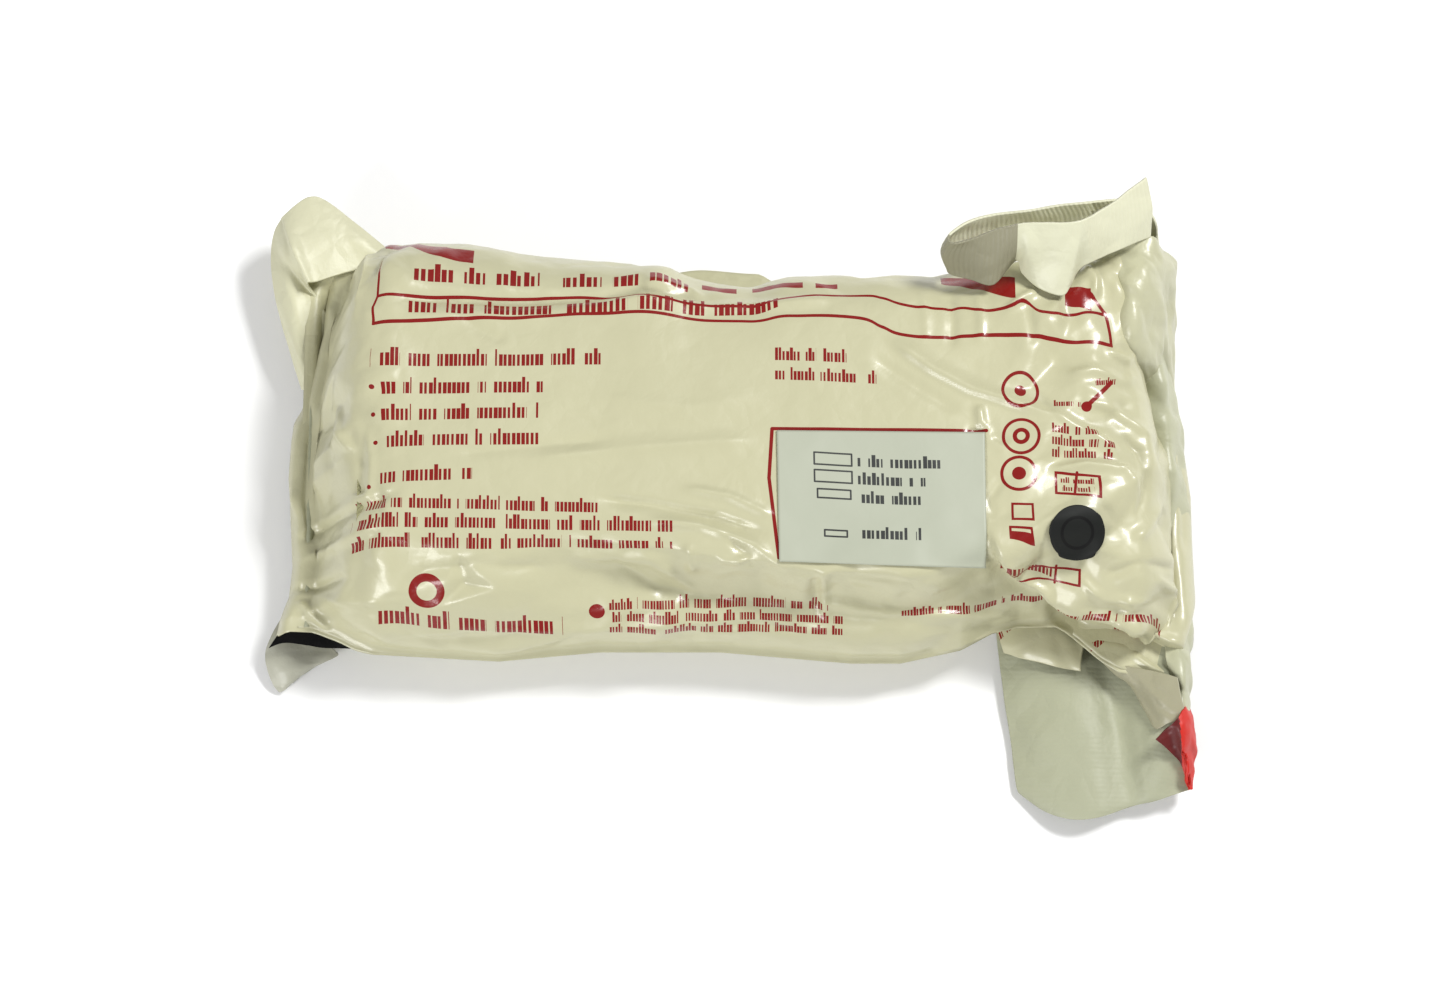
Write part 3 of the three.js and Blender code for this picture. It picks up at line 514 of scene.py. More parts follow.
# The folds that the photo shows: width and lift in mm, the path, and how far it leans and tapers
filmFolds = [
    # the title's buckle and the long crease along the far shoulder
    (2.4, -0.9, [(383, 299), (520, 301), (600, 297), (640, 290), (700, 305)]),
    (1.8, 0.55, [(590, 302), (660, 299), (700, 309), (790, 303), (850, 297)]),
    (1.6, 0.7, [(640, 284), (690, 293), (705, 303)]),
    (2.2, 0.3, [(395, 320), (460, 316), (560, 318)]),
    (2.2, -0.35, [(450, 300), (480, 330), (510, 345)]),
    # soft ridges over the edges of what lies inside
    (3.2, 0.5, [(520, 462), (640, 448), (770, 439)]),
    (2.4, -0.35, [(450, 455), (530, 447), (620, 440)]),
    (5, 0.25, [(600, 398), (690, 408), (760, 398)]),
    (5, 0.25, [(410, 345), (409, 420)]),
    # left of the label
    (2, -0.8, [(592, 497), (650, 503), (720, 516), (772, 534)], 0.3),
    (1.8, 0.75, [(640, 520), (700, 524), (752, 542), (776, 562)]),
    (1.6, 0.55, [(680, 488), (730, 496), (775, 517)]),
    (1.4, -0.6, [(722, 530), (745, 555), (752, 572)]),
    (1.3, 0.6, [(688, 541), (690, 556), (693, 576)]),
    (1.2, 0.6, [(715, 560), (735, 563), (748, 556)]),
    (1.6, 0.5, [(640, 552), (668, 572), (700, 598)]),
    (1.6, -0.5, [(610, 560), (660, 590), (740, 602)]),
    (2.6, 0.5, [(563, 560), (640, 562), (690, 580)]),
    # the near shelf, its lip and the print's creases
    (2.6, 0.45, [(380, 640), (470, 628), (560, 634), (680, 622), (760, 628)]),
    (1.8, 0.7, [(800, 600), (860, 606), (930, 612), (1030, 616)], 0.4),
    (1, 0.7, [(822, 566), (822, 590), (824, 622)]),
    (1.1, -0.5, [(812, 572), (813, 596), (819, 612)]),
    (1.4, -0.4, [(700, 628), (760, 622), (800, 634)]),
    (2.4, -0.45, [(404, 590), (430, 570), (480, 562), (560, 570)]),
    # left end: ridges side by side along the end
    (1.6, -0.7, [(309, 300), (312, 330), (300, 372)]),
    (1.8, 0.4, [(322, 296), (330, 330), (326, 360)]),
    (1.6, 0.8, [(296, 405), (292, 440), (290, 480), (294, 520)], -0.3),
    (1.6, -0.8, [(306, 396), (304, 440), (303, 500), (310, 545)]),
    (1.5, 0.7, [(318, 400), (318, 450), (314, 500)]),
    (1.3, -0.6, [(332, 404), (330, 440), (334, 476)]),
    (1.5, 0.9, [(341, 404), (345, 430), (356, 454)], 0.3),
    (1.6, -0.35, [(358, 424), (362, 460), (360, 500)]),
    (1.4, 0.45, [(372, 430), (374, 470), (368, 505)]),
    (2, -0.9, [(292, 545), (330, 520), (372, 500), (410, 488)], 0.3),
    (1.6, 0.6, [(298, 562), (350, 538), (392, 520)]),
    (1.6, -0.6, [(288, 590), (320, 586), (352, 574)]),
    (1.3, 0.95, [(296, 600), (310, 612), (332, 628)]),
    (2.2, 0.5, [(300, 615), (340, 600), (392, 600)]),
    (1.6, -0.5, [(312, 276), (330, 262), (350, 260)]),
    # top right: pleats below the curled seal
    (1.4, 0.35, [(922, 292), (925, 318), (924, 342)]),
    (1.6, -0.5, [(948, 292), (951, 322), (950, 350)]),
    (1.4, 0.45, [(976, 290), (980, 320), (978, 345)]),
    (1.3, 0.8, [(1005, 312), (1020, 300), (1036, 292)]),
    (1.4, -0.4, [(1024, 300), (1030, 330), (1028, 350)]),
    (1.6, 0.35, [(1052, 300), (1056, 330)]),
    # the long diagonal from the print down to the label's corner
    (2.6, 0.95, [(884, 338), (930, 372), (968, 392), (1000, 402), (1030, 412)], -0.45),
    (2, -0.4, [(868, 356), (920, 392), (960, 416)]),
    (1.3, 0.9, [(975, 405), (978, 425), (990, 440)]),
    (1.2, -0.6, [(962, 432), (980, 430), (1006, 446)]),
    (2, 0.7, [(1000, 404), (1050, 416), (1095, 440), (1118, 462)]),
    # right end: the star of facets round the disc and the small signs
    (1.6, 0.85, [(1040, 470), (1080, 464), (1120, 470), (1136, 500)], 0.3),
    (1.5, 0.6, [(1060, 376), (1090, 372), (1120, 382), (1150, 372)]),
    (1.3, 0.8, [(1100, 350), (1130, 360), (1158, 344)]),
    (1.6, 0.7, [(1076, 402), (1112, 412), (1140, 434), (1146, 470)], -0.3),
    (1.3, -0.7, [(1112, 430), (1134, 452), (1140, 492), (1132, 520)]),
    (1.6, 0.8, [(1128, 540), (1146, 520), (1162, 500)]),
    (1.5, -0.6, [(1100, 575), (1130, 560), (1160, 568)]),
    (1.4, 0.7, [(1118, 590), (1124, 606), (1112, 622)]),
    (1.6, 0.5, [(1072, 572), (1100, 596), (1140, 600)]),
    (1.4, 0.8, [(1138, 572), (1160, 590), (1170, 620)]),
    (1.4, -0.4, [(1000, 476), (984, 500), (990, 520)]),
    (1.5, -1, [(1163, 342), (1158, 380), (1162, 430), (1156, 480)], 0.3),
    (1.5, 0.9, [(1172, 350), (1170, 400), (1176, 450), (1172, 520)]),
    (1.6, -1, [(1156, 490), (1162, 540), (1170, 580), (1174, 640)]),
    (1.4, -0.6, [(1182, 420), (1186, 500), (1184, 560)]),
    (1.8, -0.7, [(1110, 262), (1122, 285), (1150, 300), (1172, 300)]),
    (1.4, 0.9, [(1092, 300), (1094, 284), (1084, 272)]),
    (1.6, 0.8, [(1120, 315), (1140, 312), (1160, 322)]),
    (1.6, 0.7, [(1150, 250), (1160, 280), (1150, 320)]),
    # the near right lip
    (1.8, 0.8, [(930, 652), (990, 630), (1050, 624), (1080, 640)], 0, 0.1),
    (1.6, -0.5, [(1046, 640), (1090, 634), (1160, 640), (1176, 650)]),
    (1.5, 0.7, [(1128, 652), (1150, 668), (1172, 676)]),
]

crumples = [
    # everywhere, in facets; then long ones along the middle, across the two ends and along the near side
    {"cell": 13.0, "seed": 11, "lift": 1.0, "shape": (1.5, 1.0), "place": "all"},
    {"cell": 6.0, "seed": 23, "lift": 0.6, "shape": (1.4, 1.0), "place": "all"},
    {"cell": 3.2, "seed": 37, "lift": 0.24, "shape": (1.3, 1.0), "place": "all"},
    {"cell": 6.5, "seed": 43, "lift": 1.35, "shape": (0.75, 2.4), "place": "ends"},
    {"cell": 3.4, "seed": 47, "lift": 0.6, "shape": (0.8, 2.0), "place": "ends"},
    {"cell": 7.0, "seed": 59, "lift": 1.2, "shape": (2.2, 0.8), "place": "sides"},
]


def towardsView(normals):
    return normals[..., 1] * -cosView + normals[..., 2] * sinView


def shadedEndFilm():
    grid, flat = bodyFrame()
    seen = toPhoto(grid)
    outward = gridNormals(grid)
    inside = smooth(weldTop - 2, weldTop + 5, grid[..., 2])
    lift = np.zeros(seen.shape[:2])
    for fold in filmFolds:
        lift += film["foldGain"] * foldLift(seen, *fold)
    lift = blurred(lift + stepLift(seen), 0.7) * smooth(-0.12, 0.12, towardsView(outward))
    # crumpling is strongest at the ends and along the sides
    x, y = grid[..., 0], grid[..., 1]
    ends = np.maximum(smooth(44, 62, x), smooth(58, 70, -x))
    sides = np.maximum(smooth(20, 32, np.abs(y)), smooth(-14, -26, y))
    everywhere = mix(film["calm"], 1.0, np.maximum(ends, sides * 0.7))
    strength = {"all": everywhere, "ends": ends, "sides": sides * (1 - ends)}
    for rough in crumples:
        field = blurred(crumpled(flat, rough["cell"], rough["seed"], rough["shape"]), 0.6)
        lift += rough["lift"] * field * strength[rough["place"]] * inside
    return grid + outward * lift[..., None], flat


print("film: folding")
filmGrid, filmFlat = shadedEndFilm()
filmInPhoto = toPhoto(filmGrid)
filmHidden = 400.0 * (towardsView(gridNormals(filmGrid)) < 0.03)


def flatPlace(px, py):
    # the film's flat place under a pixel of the photo, on the side that shows
    away = np.linalg.norm(filmInPhoto - np.array([px, py]), axis=-1) + filmHidden
    row, column = np.unravel_index(np.argmin(away), away.shape)
    return tuple(float(value) for value in filmFlat[row, column])


def newGroup(name, inputs, outputs):
    # a node group whose sockets are all plain values: its tree, what comes in and what goes out
    tree = bpy.data.node_groups.new(name, "ShaderNodeTree")
    for direction, labels in (("INPUT", inputs), ("OUTPUT", outputs)):
        for label in labels:
            tree.interface.new_socket(name=label, in_out=direction, socket_type="NodeSocketFloat")
    return tree, tree.nodes.new("NodeGroupInput").outputs, tree.nodes.new("NodeGroupOutput").inputs


def mathNode(operation, *values):
    # a math node, made in the tree that its linked values are in
    tree = next(value.id_data for value in values if isinstance(value, bpy.types.NodeSocket))
    node = tree.nodes.new("ShaderNodeMath")
    node.operation = operation
    for socket, value in zip(node.inputs, values):
        if isinstance(value, bpy.types.NodeSocket):
            tree.links.new(value, socket)
        else:
            socket.default_value = value
    return node.outputs[0]


add = partial(mathNode, "ADD")
subtract = partial(mathNode, "SUBTRACT")
multiply = partial(mathNode, "MULTIPLY")
divide = partial(mathNode, "DIVIDE")
larger = partial(mathNode, "MAXIMUM")
smaller = partial(mathNode, "MINIMUM")
above = partial(mathNode, "GREATER_THAN")
below = partial(mathNode, "LESS_THAN")
fraction = partial(mathNode, "FRACT")


def between(value, low, high):
    # 1 where the value lies between two others
    return multiply(above(value, low), below(value, high))


def lengthOf(x, y):
    return mathNode("SQRT", add(mathNode("POWER", x, 2.0), mathNode("POWER", y, 2.0)))


def noise(tree, place, scale, detail, rough, seed):
    node = tree.nodes.new("ShaderNodeTexNoise")
    node.noise_dimensions = "4D"
    for name, value in (("Scale", scale), ("Detail", detail), ("Roughness", rough), ("W", seed)):
        node.inputs[name].default_value = value
    tree.links.new(place, node.inputs["Vector"])
    return node.outputs["Fac"]


def splitVector(tree, vector):
    split = tree.nodes.new("ShaderNodeSeparateXYZ")
    tree.links.new(vector, split.inputs[0])
    return split.outputs


def flatMap(tree):
    uv = tree.nodes.new("ShaderNodeUVMap")
    uv.uv_map = "flat"
    return splitVector(tree, uv.outputs[0])


def placeGroup():
    # the flat place on the film in millimetres
    tree, get, put = newGroup("filmPlace", (), ("X", "Y"))
    place = flatMap(tree)
    for name in ("X", "Y"):
        tree.links.new(divide(place[name], mm), put[name])
    return tree


def lineGroup():
    # a printed line from one place to another
    names = ("X", "Y", "From X", "From Y", "To X", "To Y", "Half Width")
    tree, get, put = newGroup("printedLine", names, ("Mask",))
    wayX, wayY = subtract(get["To X"], get["From X"]), subtract(get["To Y"], get["From Y"])
    awayX, awayY = subtract(get["X"], get["From X"]), subtract(get["Y"], get["From Y"])
    dot = add(multiply(wayX, awayX), multiply(wayY, awayY))
    size = add(multiply(wayX, wayX), multiply(wayY, wayY))
    share = smaller(larger(divide(dot, size), 0.0), 1.0)
    far = lengthOf(subtract(awayX, multiply(wayX, share)), subtract(awayY, multiply(wayY, share)))
    tree.links.new(below(far, get["Half Width"]), put["Mask"])
    return tree


barLook = {
    "gaps": ((6.3, 0.13), (9.7, 0.085)),  # two rhythms in letters that drift apart, and each one's gap
    "perLetter": 2.0,
    "thin": 0.52,
    "thicker": 0.36,
    "tallFrom": 0.8,  # the share of bars that stay short
    "short": 0.3,  # how far a short bar's top lies below a tall one's
}


def rowsGroup():
    # rows of short plain bars in a box, with gaps like those between words and ragged row ends
    names = ("X", "Y", "Left", "Top", "Slope", "Width", "Rows", "Pitch", "Height", "Letter", "Ragged", "Seed")
    tree, get, put = newGroup("printedRows", names, ("Mask",))

    def dice(a, b):
        join = tree.nodes.new("ShaderNodeCombineXYZ")
        for source, socket in zip((a, b, get["Seed"]), join.inputs):
            tree.links.new(source, socket)
        node = tree.nodes.new("ShaderNodeTexWhiteNoise")
        tree.links.new(join.outputs[0], node.inputs["Vector"])
        return node.outputs

    run = subtract(get["X"], get["Left"])
    down = add(subtract(get["Top"], get["Y"]), multiply(get["Slope"], run))
    place = divide(down, get["Pitch"])
    row = mathNode("FLOOR", place)
    inRow = multiply(fraction(place), get["Pitch"])
    rowDice = dice(row, get["Seed"])["Value"]
    rowWidth = multiply(get["Width"], subtract(1.0, multiply(get["Ragged"], rowDice)))
    inBox = multiply(between(run, 0.0, rowWidth), between(row, -0.5, get["Rows"]))
    letters = divide(run, get["Letter"])
    for length, gap in barLook["gaps"]:
        beat = fraction(add(divide(letters, length), multiply(rowDice, length)))
        inBox = multiply(inBox, above(beat, gap))
    cells = multiply(letters, barLook["perLetter"])
    split = tree.nodes.new("ShaderNodeSeparateColor")
    tree.links.new(dice(mathNode("FLOOR", cells), row)["Color"], split.inputs[0])
    bar = between(fraction(cells), 0.0, add(barLook["thin"], multiply(split.outputs[1], barLook["thicker"])))
    tall = multiply(above(split.outputs[2], barLook["tallFrom"]), barLook["short"])
    high = between(divide(inRow, get["Height"]), subtract(barLook["short"], tall), 1.0)
    tree.links.new(multiply(multiply(bar, high), inBox), put["Mask"])
    return tree


def ringGroup():
    # a plain printed ring, or a disc where its inner radius is nought
    tree, get, put = newGroup("printedRing", ("X", "Y", "Middle X", "Middle Y", "Inner", "Outer"), ("Mask",))
    far = lengthOf(subtract(get["X"], get["Middle X"]), subtract(get["Y"], get["Middle Y"]))
    tree.links.new(between(far, get["Inner"], get["Outer"]), put["Mask"])
    return tree


def boxGroup():
    # a plain printed frame, or a filled box where its line is wider than half of it
    names = ("X", "Y", "Middle X", "Middle Y", "Half Width", "Half Height", "Turn", "Line")
    tree, get, put = newGroup("printedBox", names, ("Mask",))
    awayX = subtract(get["X"], get["Middle X"])
    awayY = add(subtract(get["Y"], get["Middle Y"]), multiply(awayX, get["Turn"]))
    outX = subtract(mathNode("ABSOLUTE", awayX), get["Half Width"])
    outY = subtract(mathNode("ABSOLUTE", awayY), get["Half Height"])
    tree.links.new(between(larger(outX, outY), multiply(get["Line"], -1.0), 0.0), put["Mask"])
    return tree


surfaceLook = {
    "broad": (26.0, 4.0, 0.6, 1.0),  # each noise's scale, detail, roughness and seed
    "fine": (420.0, 3.0, 0.6, 2.0),
    "grain": (1500.0, 2.0, 0.5, 3.0),
    "fineTint": 0.03,
    "gloss": (0.27, 0.16, 0.06),  # the lowest roughness, and what the broad and fine noise add
    "creases": 210.0,
    "creaseDepth": 0.3,
    "wobble": 90.0,
    "wobbleReach": 0.006,
    "heights": (0.5, 2.2, 0.12),  # of the fine noise, the creases and the grain
}


def surfaceGroup():
    # fine unevenness of thin film: colour mottle, gloss and the height of its small wrinkles
    tree, get, put = newGroup("filmSurface", ("Mottle", "Ribs", "Rib Pitch"), ("Tint", "Gloss", "Height"))
    place = tree.nodes.new("ShaderNodeTexCoord").outputs["Object"]
    broad, fine, grain = (noise(tree, place, *surfaceLook[name]) for name in ("broad", "fine", "grain"))
    tint = multiply(subtract(broad, 0.5), get["Mottle"])
    tint = add(tint, multiply(subtract(fine, 0.5), surfaceLook["fineTint"]))
    tree.links.new(add(tint, 1.0), put["Tint"])
    lowest, ofBroad, ofFine = surfaceLook["gloss"]
    tree.links.new(add(add(lowest, multiply(broad, ofBroad)), multiply(fine, ofFine)), put["Gloss"])
    phase = divide(divide(flatMap(tree)["X"], mm), get["Rib Pitch"])
    rib = mathNode("SINE", multiply(phase, 2 * math.pi))
    creases = tree.nodes.new("ShaderNodeTexVoronoi")
    creases.feature = "DISTANCE_TO_EDGE"
    creases.inputs["Scale"].default_value = surfaceLook["creases"]
    bent = tree.nodes.new("ShaderNodeVectorMath")
    bent.operation = "MULTIPLY_ADD"
    wobble = tree.nodes.new("ShaderNodeTexNoise")
    wobble.inputs["Scale"].default_value = surfaceLook["wobble"]
    tree.links.new(place, wobble.inputs["Vector"])
    tree.links.new(wobble.outputs["Color"], bent.inputs[0])
    bent.inputs[1].default_value = (surfaceLook["wobbleReach"],) * 3
    tree.links.new(place, bent.inputs[2])
    tree.links.new(bent.outputs[0], creases.inputs["Vector"])
    crease = smaller(creases.outputs["Distance"], surfaceLook["creaseDepth"])
    ofFine, ofCrease, ofGrain = surfaceLook["heights"]
    height = add(multiply(fine, ofFine), multiply(crease, multiply(broad, ofCrease)))
    height = add(add(height, multiply(grain, ofGrain)), multiply(rib, get["Ribs"]))
    tree.links.new(height, put["Height"])
    return tree


groups = {
    "place": placeGroup(),
    "line": lineGroup(),
    "rows": rowsGroup(),
    "ring": ringGroup(),
    "box": boxGroup(),
    "surface": surfaceGroup(),
}


def useGroup(tree, key, values=None, links=None):
    node = tree.nodes.new("ShaderNodeGroup")
    node.node_tree = groups[key]
    for name, value in (values or {}).items():
        node.inputs[name].default_value = float(value)
    for name, source in (links or {}).items():
        tree.links.new(source, node.inputs[name])
    return node.outputs


def newMaterial(name):
    material = bpy.data.materials.new(name)
    material.use_nodes = True
    return material, material.node_tree, material.node_tree.nodes["Principled BSDF"]


def shaded(tree, colour, factor):
    # a colour made lighter or darker by a factor
    node = tree.nodes.new("ShaderNodeVectorMath")
    node.operation = "SCALE"
    node.inputs[0].default_value = colour
    tree.links.new(factor, node.inputs["Scale"])
    return node.outputs[0]


def inked(tree, mask, colour, ink):
    node = tree.nodes.new("ShaderNodeMix")
    node.data_type = "RGBA"
    tree.links.new(mask, node.inputs[0])
    tree.links.new(colour, node.inputs[6])
    node.inputs[7].default_value = (*ink, 1.0)
    return node.outputs[2]


def bump(tree, shader, height, strength, distance):
    node = tree.nodes.new("ShaderNodeBump")
    node.inputs["Strength"].default_value = strength
    node.inputs["Distance"].default_value = distance
    tree.links.new(height, node.inputs["Height"])
    tree.links.new(node.outputs[0], shader.inputs["Normal"])


def surfaced(name, look, printed=None):
    # a material with the film's fine surface; printed makes the mask of what is printed on it
    material, tree, shader = newMaterial(name)
    surface = useGroup(tree, "surface", {
        "Mottle": look["mottle"], "Ribs": look.get("ribs", 0.0), "Rib Pitch": look.get("ribPitch", 1.0)})
    mask = printed(tree) if printed else None
    colour = shaded(tree, look["colour"], surface["Tint"])
    if mask is not None:
        colour = inked(tree, mask, colour, look["ink"])
    tree.links.new(colour, shader.inputs["Base Color"])
    gloss = add(surface["Gloss"], look["rough"]) if look["rough"] else surface["Gloss"]
    bump(tree, shader, surface["Height"], *look["bump"])
    shader.inputs["IOR"].default_value = look.get("ior", 1.5)
    shader.inputs["Specular IOR Level"].default_value = look.get("gloss", 0.5)
    if "coat" in look:
        # the print has no coat and a sharper shine
        bare = subtract(1.0, mask)
        gloss = add(multiply(gloss, bare), multiply(mask, look["inkRough"]))
        tree.links.new(multiply(bare, look["coat"]), shader.inputs["Coat Weight"])
        shader.inputs["Coat Roughness"].default_value = look["coatRough"]
    tree.links.new(gloss, shader.inputs["Roughness"])
    return material


filmLook = {
    "colour": (0.455, 0.441, 0.286),
    "ink": (0.193, 0.006, 0.0045),
    "inkRough": 0.23,
    "mottle": 0.10,
    "rough": 0.0,
    "bump": (0.35, 0.0004),
    "ior": 1.45,
    "coat": 0.22,
    "coatRough": 0.14,
}
plainLook = {"colour": filmLook["colour"], "mottle": 0.10, "rough": 0.0, "bump": (0.4, 0.0006), "ior": 1.48}

# The print, as plain bars, lines and rings at the places that the photo shows, in pixels.
# Half widths, line widths, radii, bar heights and letter lengths are in mm.
filmPrint = {
    "regions": [700, 990],  # where the film passes from one material of its print to the next
    "edge": 8,
    # half width and path: the red bands over the far shoulder, and the frame's two long lines
    "curves": [
        (2, [(380, 243), (402, 245), (432, 249), (472, 256)]),
        (2, [(940, 281), (975, 283), (1014, 288)]),
        (1.9, [(1064, 296), (1076, 298), (1090, 301)]),
        (1, [(703, 287), (722, 290), (738, 291)]),
        (0.9, [(753, 290), (802, 285)]),
        (0.8, [(815, 286), (838, 286)]),
        (0.28, [(380, 297), (480, 299), (560, 298), (700, 306), (860, 297), (880, 298), (912, 307),
               (960, 309), (1008, 308), (1022, 302), (1040, 313), (1070, 317), (1103, 315)]),
        (0.32, [(375, 324), (500, 318), (640, 313), (850, 318), (880, 328), (918, 339), (960, 337),
               (1034, 337), (1063, 344), (1109, 346)]),
    ],
    "lines": [
        (0.3, [(382, 262), (380, 297), (375, 308), (375, 324)]),
        (0.36, [(1084, 292), (1103, 315), (1109, 346)]),
        (0.34, [(777, 556), (769, 478), (773, 430), (984, 432)]),
        (0.24, [(1052, 564), (1051, 581)]),
        (0.26, [(1070, 474), (1068, 493)]),
        (0.4, [(1106, 384), (1083, 408)]),
    ],
    # place, size, turn and line width
    "boxes": [
        ((1036, 571), (79, 17), 0.06, 0.45),
        ((1070, 484), (44, 24), 0.1, 0.5),
        ((1016, 512), (22, 18), 0.03, 0.45),
        ((1015, 532), (22, 12), 0.03, 0.45),
        ((1014, 535), (22, 6), 0.03, 5),
    ],
    # place, inner and outer radius
    "rings": [
        ((1018, 393), 3, 3.6),
        ((1018, 436), 3, 3.6),
        ((1015, 474), 2.9, 3.5),
        ((1018, 393), 0, 1.1),
        ((1017, 436), 0.8, 1.6),
        ((1015, 474), 0, 1.3),
        ((1082, 408), 0, 0.95),
        ((430, 590), 1.9, 3.4),
        ((598, 611), 0, 1.5),
        ((376, 388), 0, 0.42),
        ((378, 415), 0, 0.42),
        ((380, 443), 0, 0.42),
        ((374, 486), 0, 0.42),
    ],
    # first and last place, bar height, letter length, seed, and for several rows their count, pitch and
    # raggedness
    "blocks": [
        # title rows
        ((415, 264), (545, 273), 3.7, 2.6, 3),
        ((553, 274), (690, 283), 3.6, 2.6, 4),
        ((405, 294), (778, 295), 3.3, 2.3, 5),
        # the left block's heading, list and the lines below
        ((374, 349), (608, 349), 3.2, 1.7, 7),
        ((384, 378), (552, 378), 3.1, 1.75, 9, 3, 27, 0.12),
        ((386, 468), (475, 463), 3.1, 1.75, 12),
        ((358, 500), (600, 498), 2.7, 1.45, 14),
        ((357, 520), (672, 517), 2.8, 1.5, 16, 2, 20, 0),
        # right of the middle
        ((775, 349), (908, 351), 2.5, 1.4, 18, 2, 20, 0.5),
        ((1047, 424), (1108, 430), 1.9, 1.1, 21, 3, 11.5, 0.3),
        ((1002, 564), (1048, 567), 2.3, 1.6, 25),
        ((1056, 476), (1088, 478), 1.2, 0.9, 26, 2, 9, 0),
        ((1090, 380), (1112, 379), 1.3, 0.9, 27),
        ((1050, 402), (1076, 402), 1.3, 0.9, 29),
        # along the near edge
        ((610, 599), (900, 606), 2.1, 1.1, 31, 3, 13, 0.25),
        ((900, 606), (1160, 628), 2, 1.1, 34),
        ((1086, 642), (1160, 650), 2.2, 1.2, 36),
        ((384, 603), (565, 616), 4.2, 2, 38),
    ],
}


def alsoInk(ink, mask):
    return mask if ink is None else larger(ink, mask)


def lineMask(tree, here, start, stop, half):
    values = {"From X": start[0], "From Y": start[1], "To X": stop[0], "To Y": stop[1], "Half Width": half}
    return useGroup(tree, "line", values, here)["Mask"]


def rowsMask(tree, here, start, width, height, letter, seed, rows=1, pitch=10.0, ragged=0.0, slope=0.0):
    values = {"Left": start[0], "Top": start[1], "Slope": slope, "Width": width, "Rows": rows - 0.5,
              "Pitch": pitch, "Height": height, "Letter": letter, "Ragged": ragged, "Seed": seed}
    return useGroup(tree, "rows", values, here)["Mask"]


def ringMask(tree, here, middle, inner, outer):
    values = {"Middle X": middle[0], "Middle Y": middle[1], "Inner": inner, "Outer": outer}
    return useGroup(tree, "ring", values, here)["Mask"]


def curveMask(tree, here, half, path):
    # a wavy line from left to right
    places = np.array([flatPlace(*place) for place in path])
    low, high = places.min(0) - 1, places.max(0) + 1
    share = divide(subtract(here["X"], low[0]), high[0] - low[0])
    curve = tree.nodes.new("ShaderNodeFloatCurve")
    line = curve.mapping.curves[0]
    shares = (places - low) / (high - low)
    line.points[0].location = (0, shares[0][1])
    line.points[1].location = (1, shares[-1][1])
    for spot in shares:
        line.points.new(*spot)
    curve.mapping.update()
    tree.links.new(share, curve.inputs["Value"])
    level = add(multiply(curve.outputs[0], high[1] - low[1]), low[1])
    near = below(mathNode("ABSOLUTE", subtract(here["Y"], level)), half)
    return multiply(near, between(here["X"], places[0][0], places[-1][0]))


def placeOf(tree):
    place = useGroup(tree, "place")
    return {"X": place["X"], "Y": place["Y"]}


def printMask(region, tree):
    here, ink = placeOf(tree), None

    def shows(*places):
        across = [place[0] for place in places]
        return max(across) > region[0] - filmPrint["edge"] and min(across) < region[1] + filmPrint["edge"]

    for half, path in filmPrint["curves"]:
        if shows(*path):
            ink = alsoInk(ink, curveMask(tree, here, half, path))
    for half, path in filmPrint["lines"]:
        for start, stop in zip(path, path[1:]) if shows(*path) else ():
            ink = alsoInk(ink, lineMask(tree, here, flatPlace(*start), flatPlace(*stop), half))
    for place, size, turn, line in filmPrint["boxes"]:
        if shows(place):
            middle = flatPlace(*place)
            halfWide, halfHigh = (side * photo["scale"] / 2 for side in size)
            values = {"Middle X": middle[0], "Middle Y": middle[1], "Half Width": halfWide,
                      "Half Height": halfHigh, "Turn": turn, "Line": line}
            ink = alsoInk(ink, useGroup(tree, "box", values, here)["Mask"])
    for first, last, height, letter, seed, *several in filmPrint["blocks"]:
        if shows(first, last):
            start, stop = flatPlace(*first), flatPlace(*last)
            rows, pitch, ragged = several or (1, 60, 0.0)
            width = stop[0] - start[0]
            ink = alsoInk(ink, rowsMask(tree, here, start, width, height, letter, seed, rows,
                                        pitch * photo["scale"], ragged, (stop[1] - start[1]) / width))
    for place, inner, outer in filmPrint["rings"]:
        if shows(place):
            ink = alsoInk(ink, ringMask(tree, here, flatPlace(*place), inner, outer))
    return ink


print("film: mesh and print")


def regionOf(corners):
    return np.searchsorted(filmPrint["regions"], toPhoto(corners.mean(1))[:, 0])


def flatOf(grid):
    # flat places by the lengths along a sheet's two ways
    across, along = (np.cumsum(np.linalg.norm(np.diff(grid, axis=axis), axis=-1), axis) for axis in (0, 1))
    return np.stack([np.pad(along, ((0, 0), (1, 0))), np.pad(across, ((1, 0), (0, 0)))], -1)


def stripPart(strip, inPixels=True):
    # a smooth sheet through rows of places, its columns following the rows, slightly crumpled
    rows = strip["rows"]
    if inPixels:
        rows = [[tuple(fromPhoto(*place)) for place in row] for row in rows]
    along = curveThrough(rows, np.linspace(0, 1, strip["size"][0]))
    grid = curveThrough(np.swapaxes(along, 0, 1), np.linspace(0, 1, strip["size"][1]))
    flat = flatOf(grid)
    if strip.get("ribsUpright"):
        flat = np.stack([np.broadcast_to(flat[..., 0].mean(0), flat.shape[:2]), flat[..., 1]], -1)
    height, cell, seed = strip["rough"]
    lift = height * blurred(crumpled(flat, cell, seed), 1.0)
    lift = lift + height * 0.5 * blurred(crumpled(flat, cell / 2, seed + 1), 0.8)
    grid = grid + gridNormals(grid) * lift[..., None]
    grid[..., 2] = np.maximum(grid[..., 2], strip["wall"] + 0.1)
    if "carries" in strip:
        way = np.array([math.cos(strip["turn"]), math.sin(strip["turn"])])
        aside = np.array([way[1], -way[0]])
        flat = np.array(flatPlace(*strip["carries"])) + flat[..., 1:] * way + flat[..., :1] * aside
    return sheetPart(grid, strip["wall"], flat)


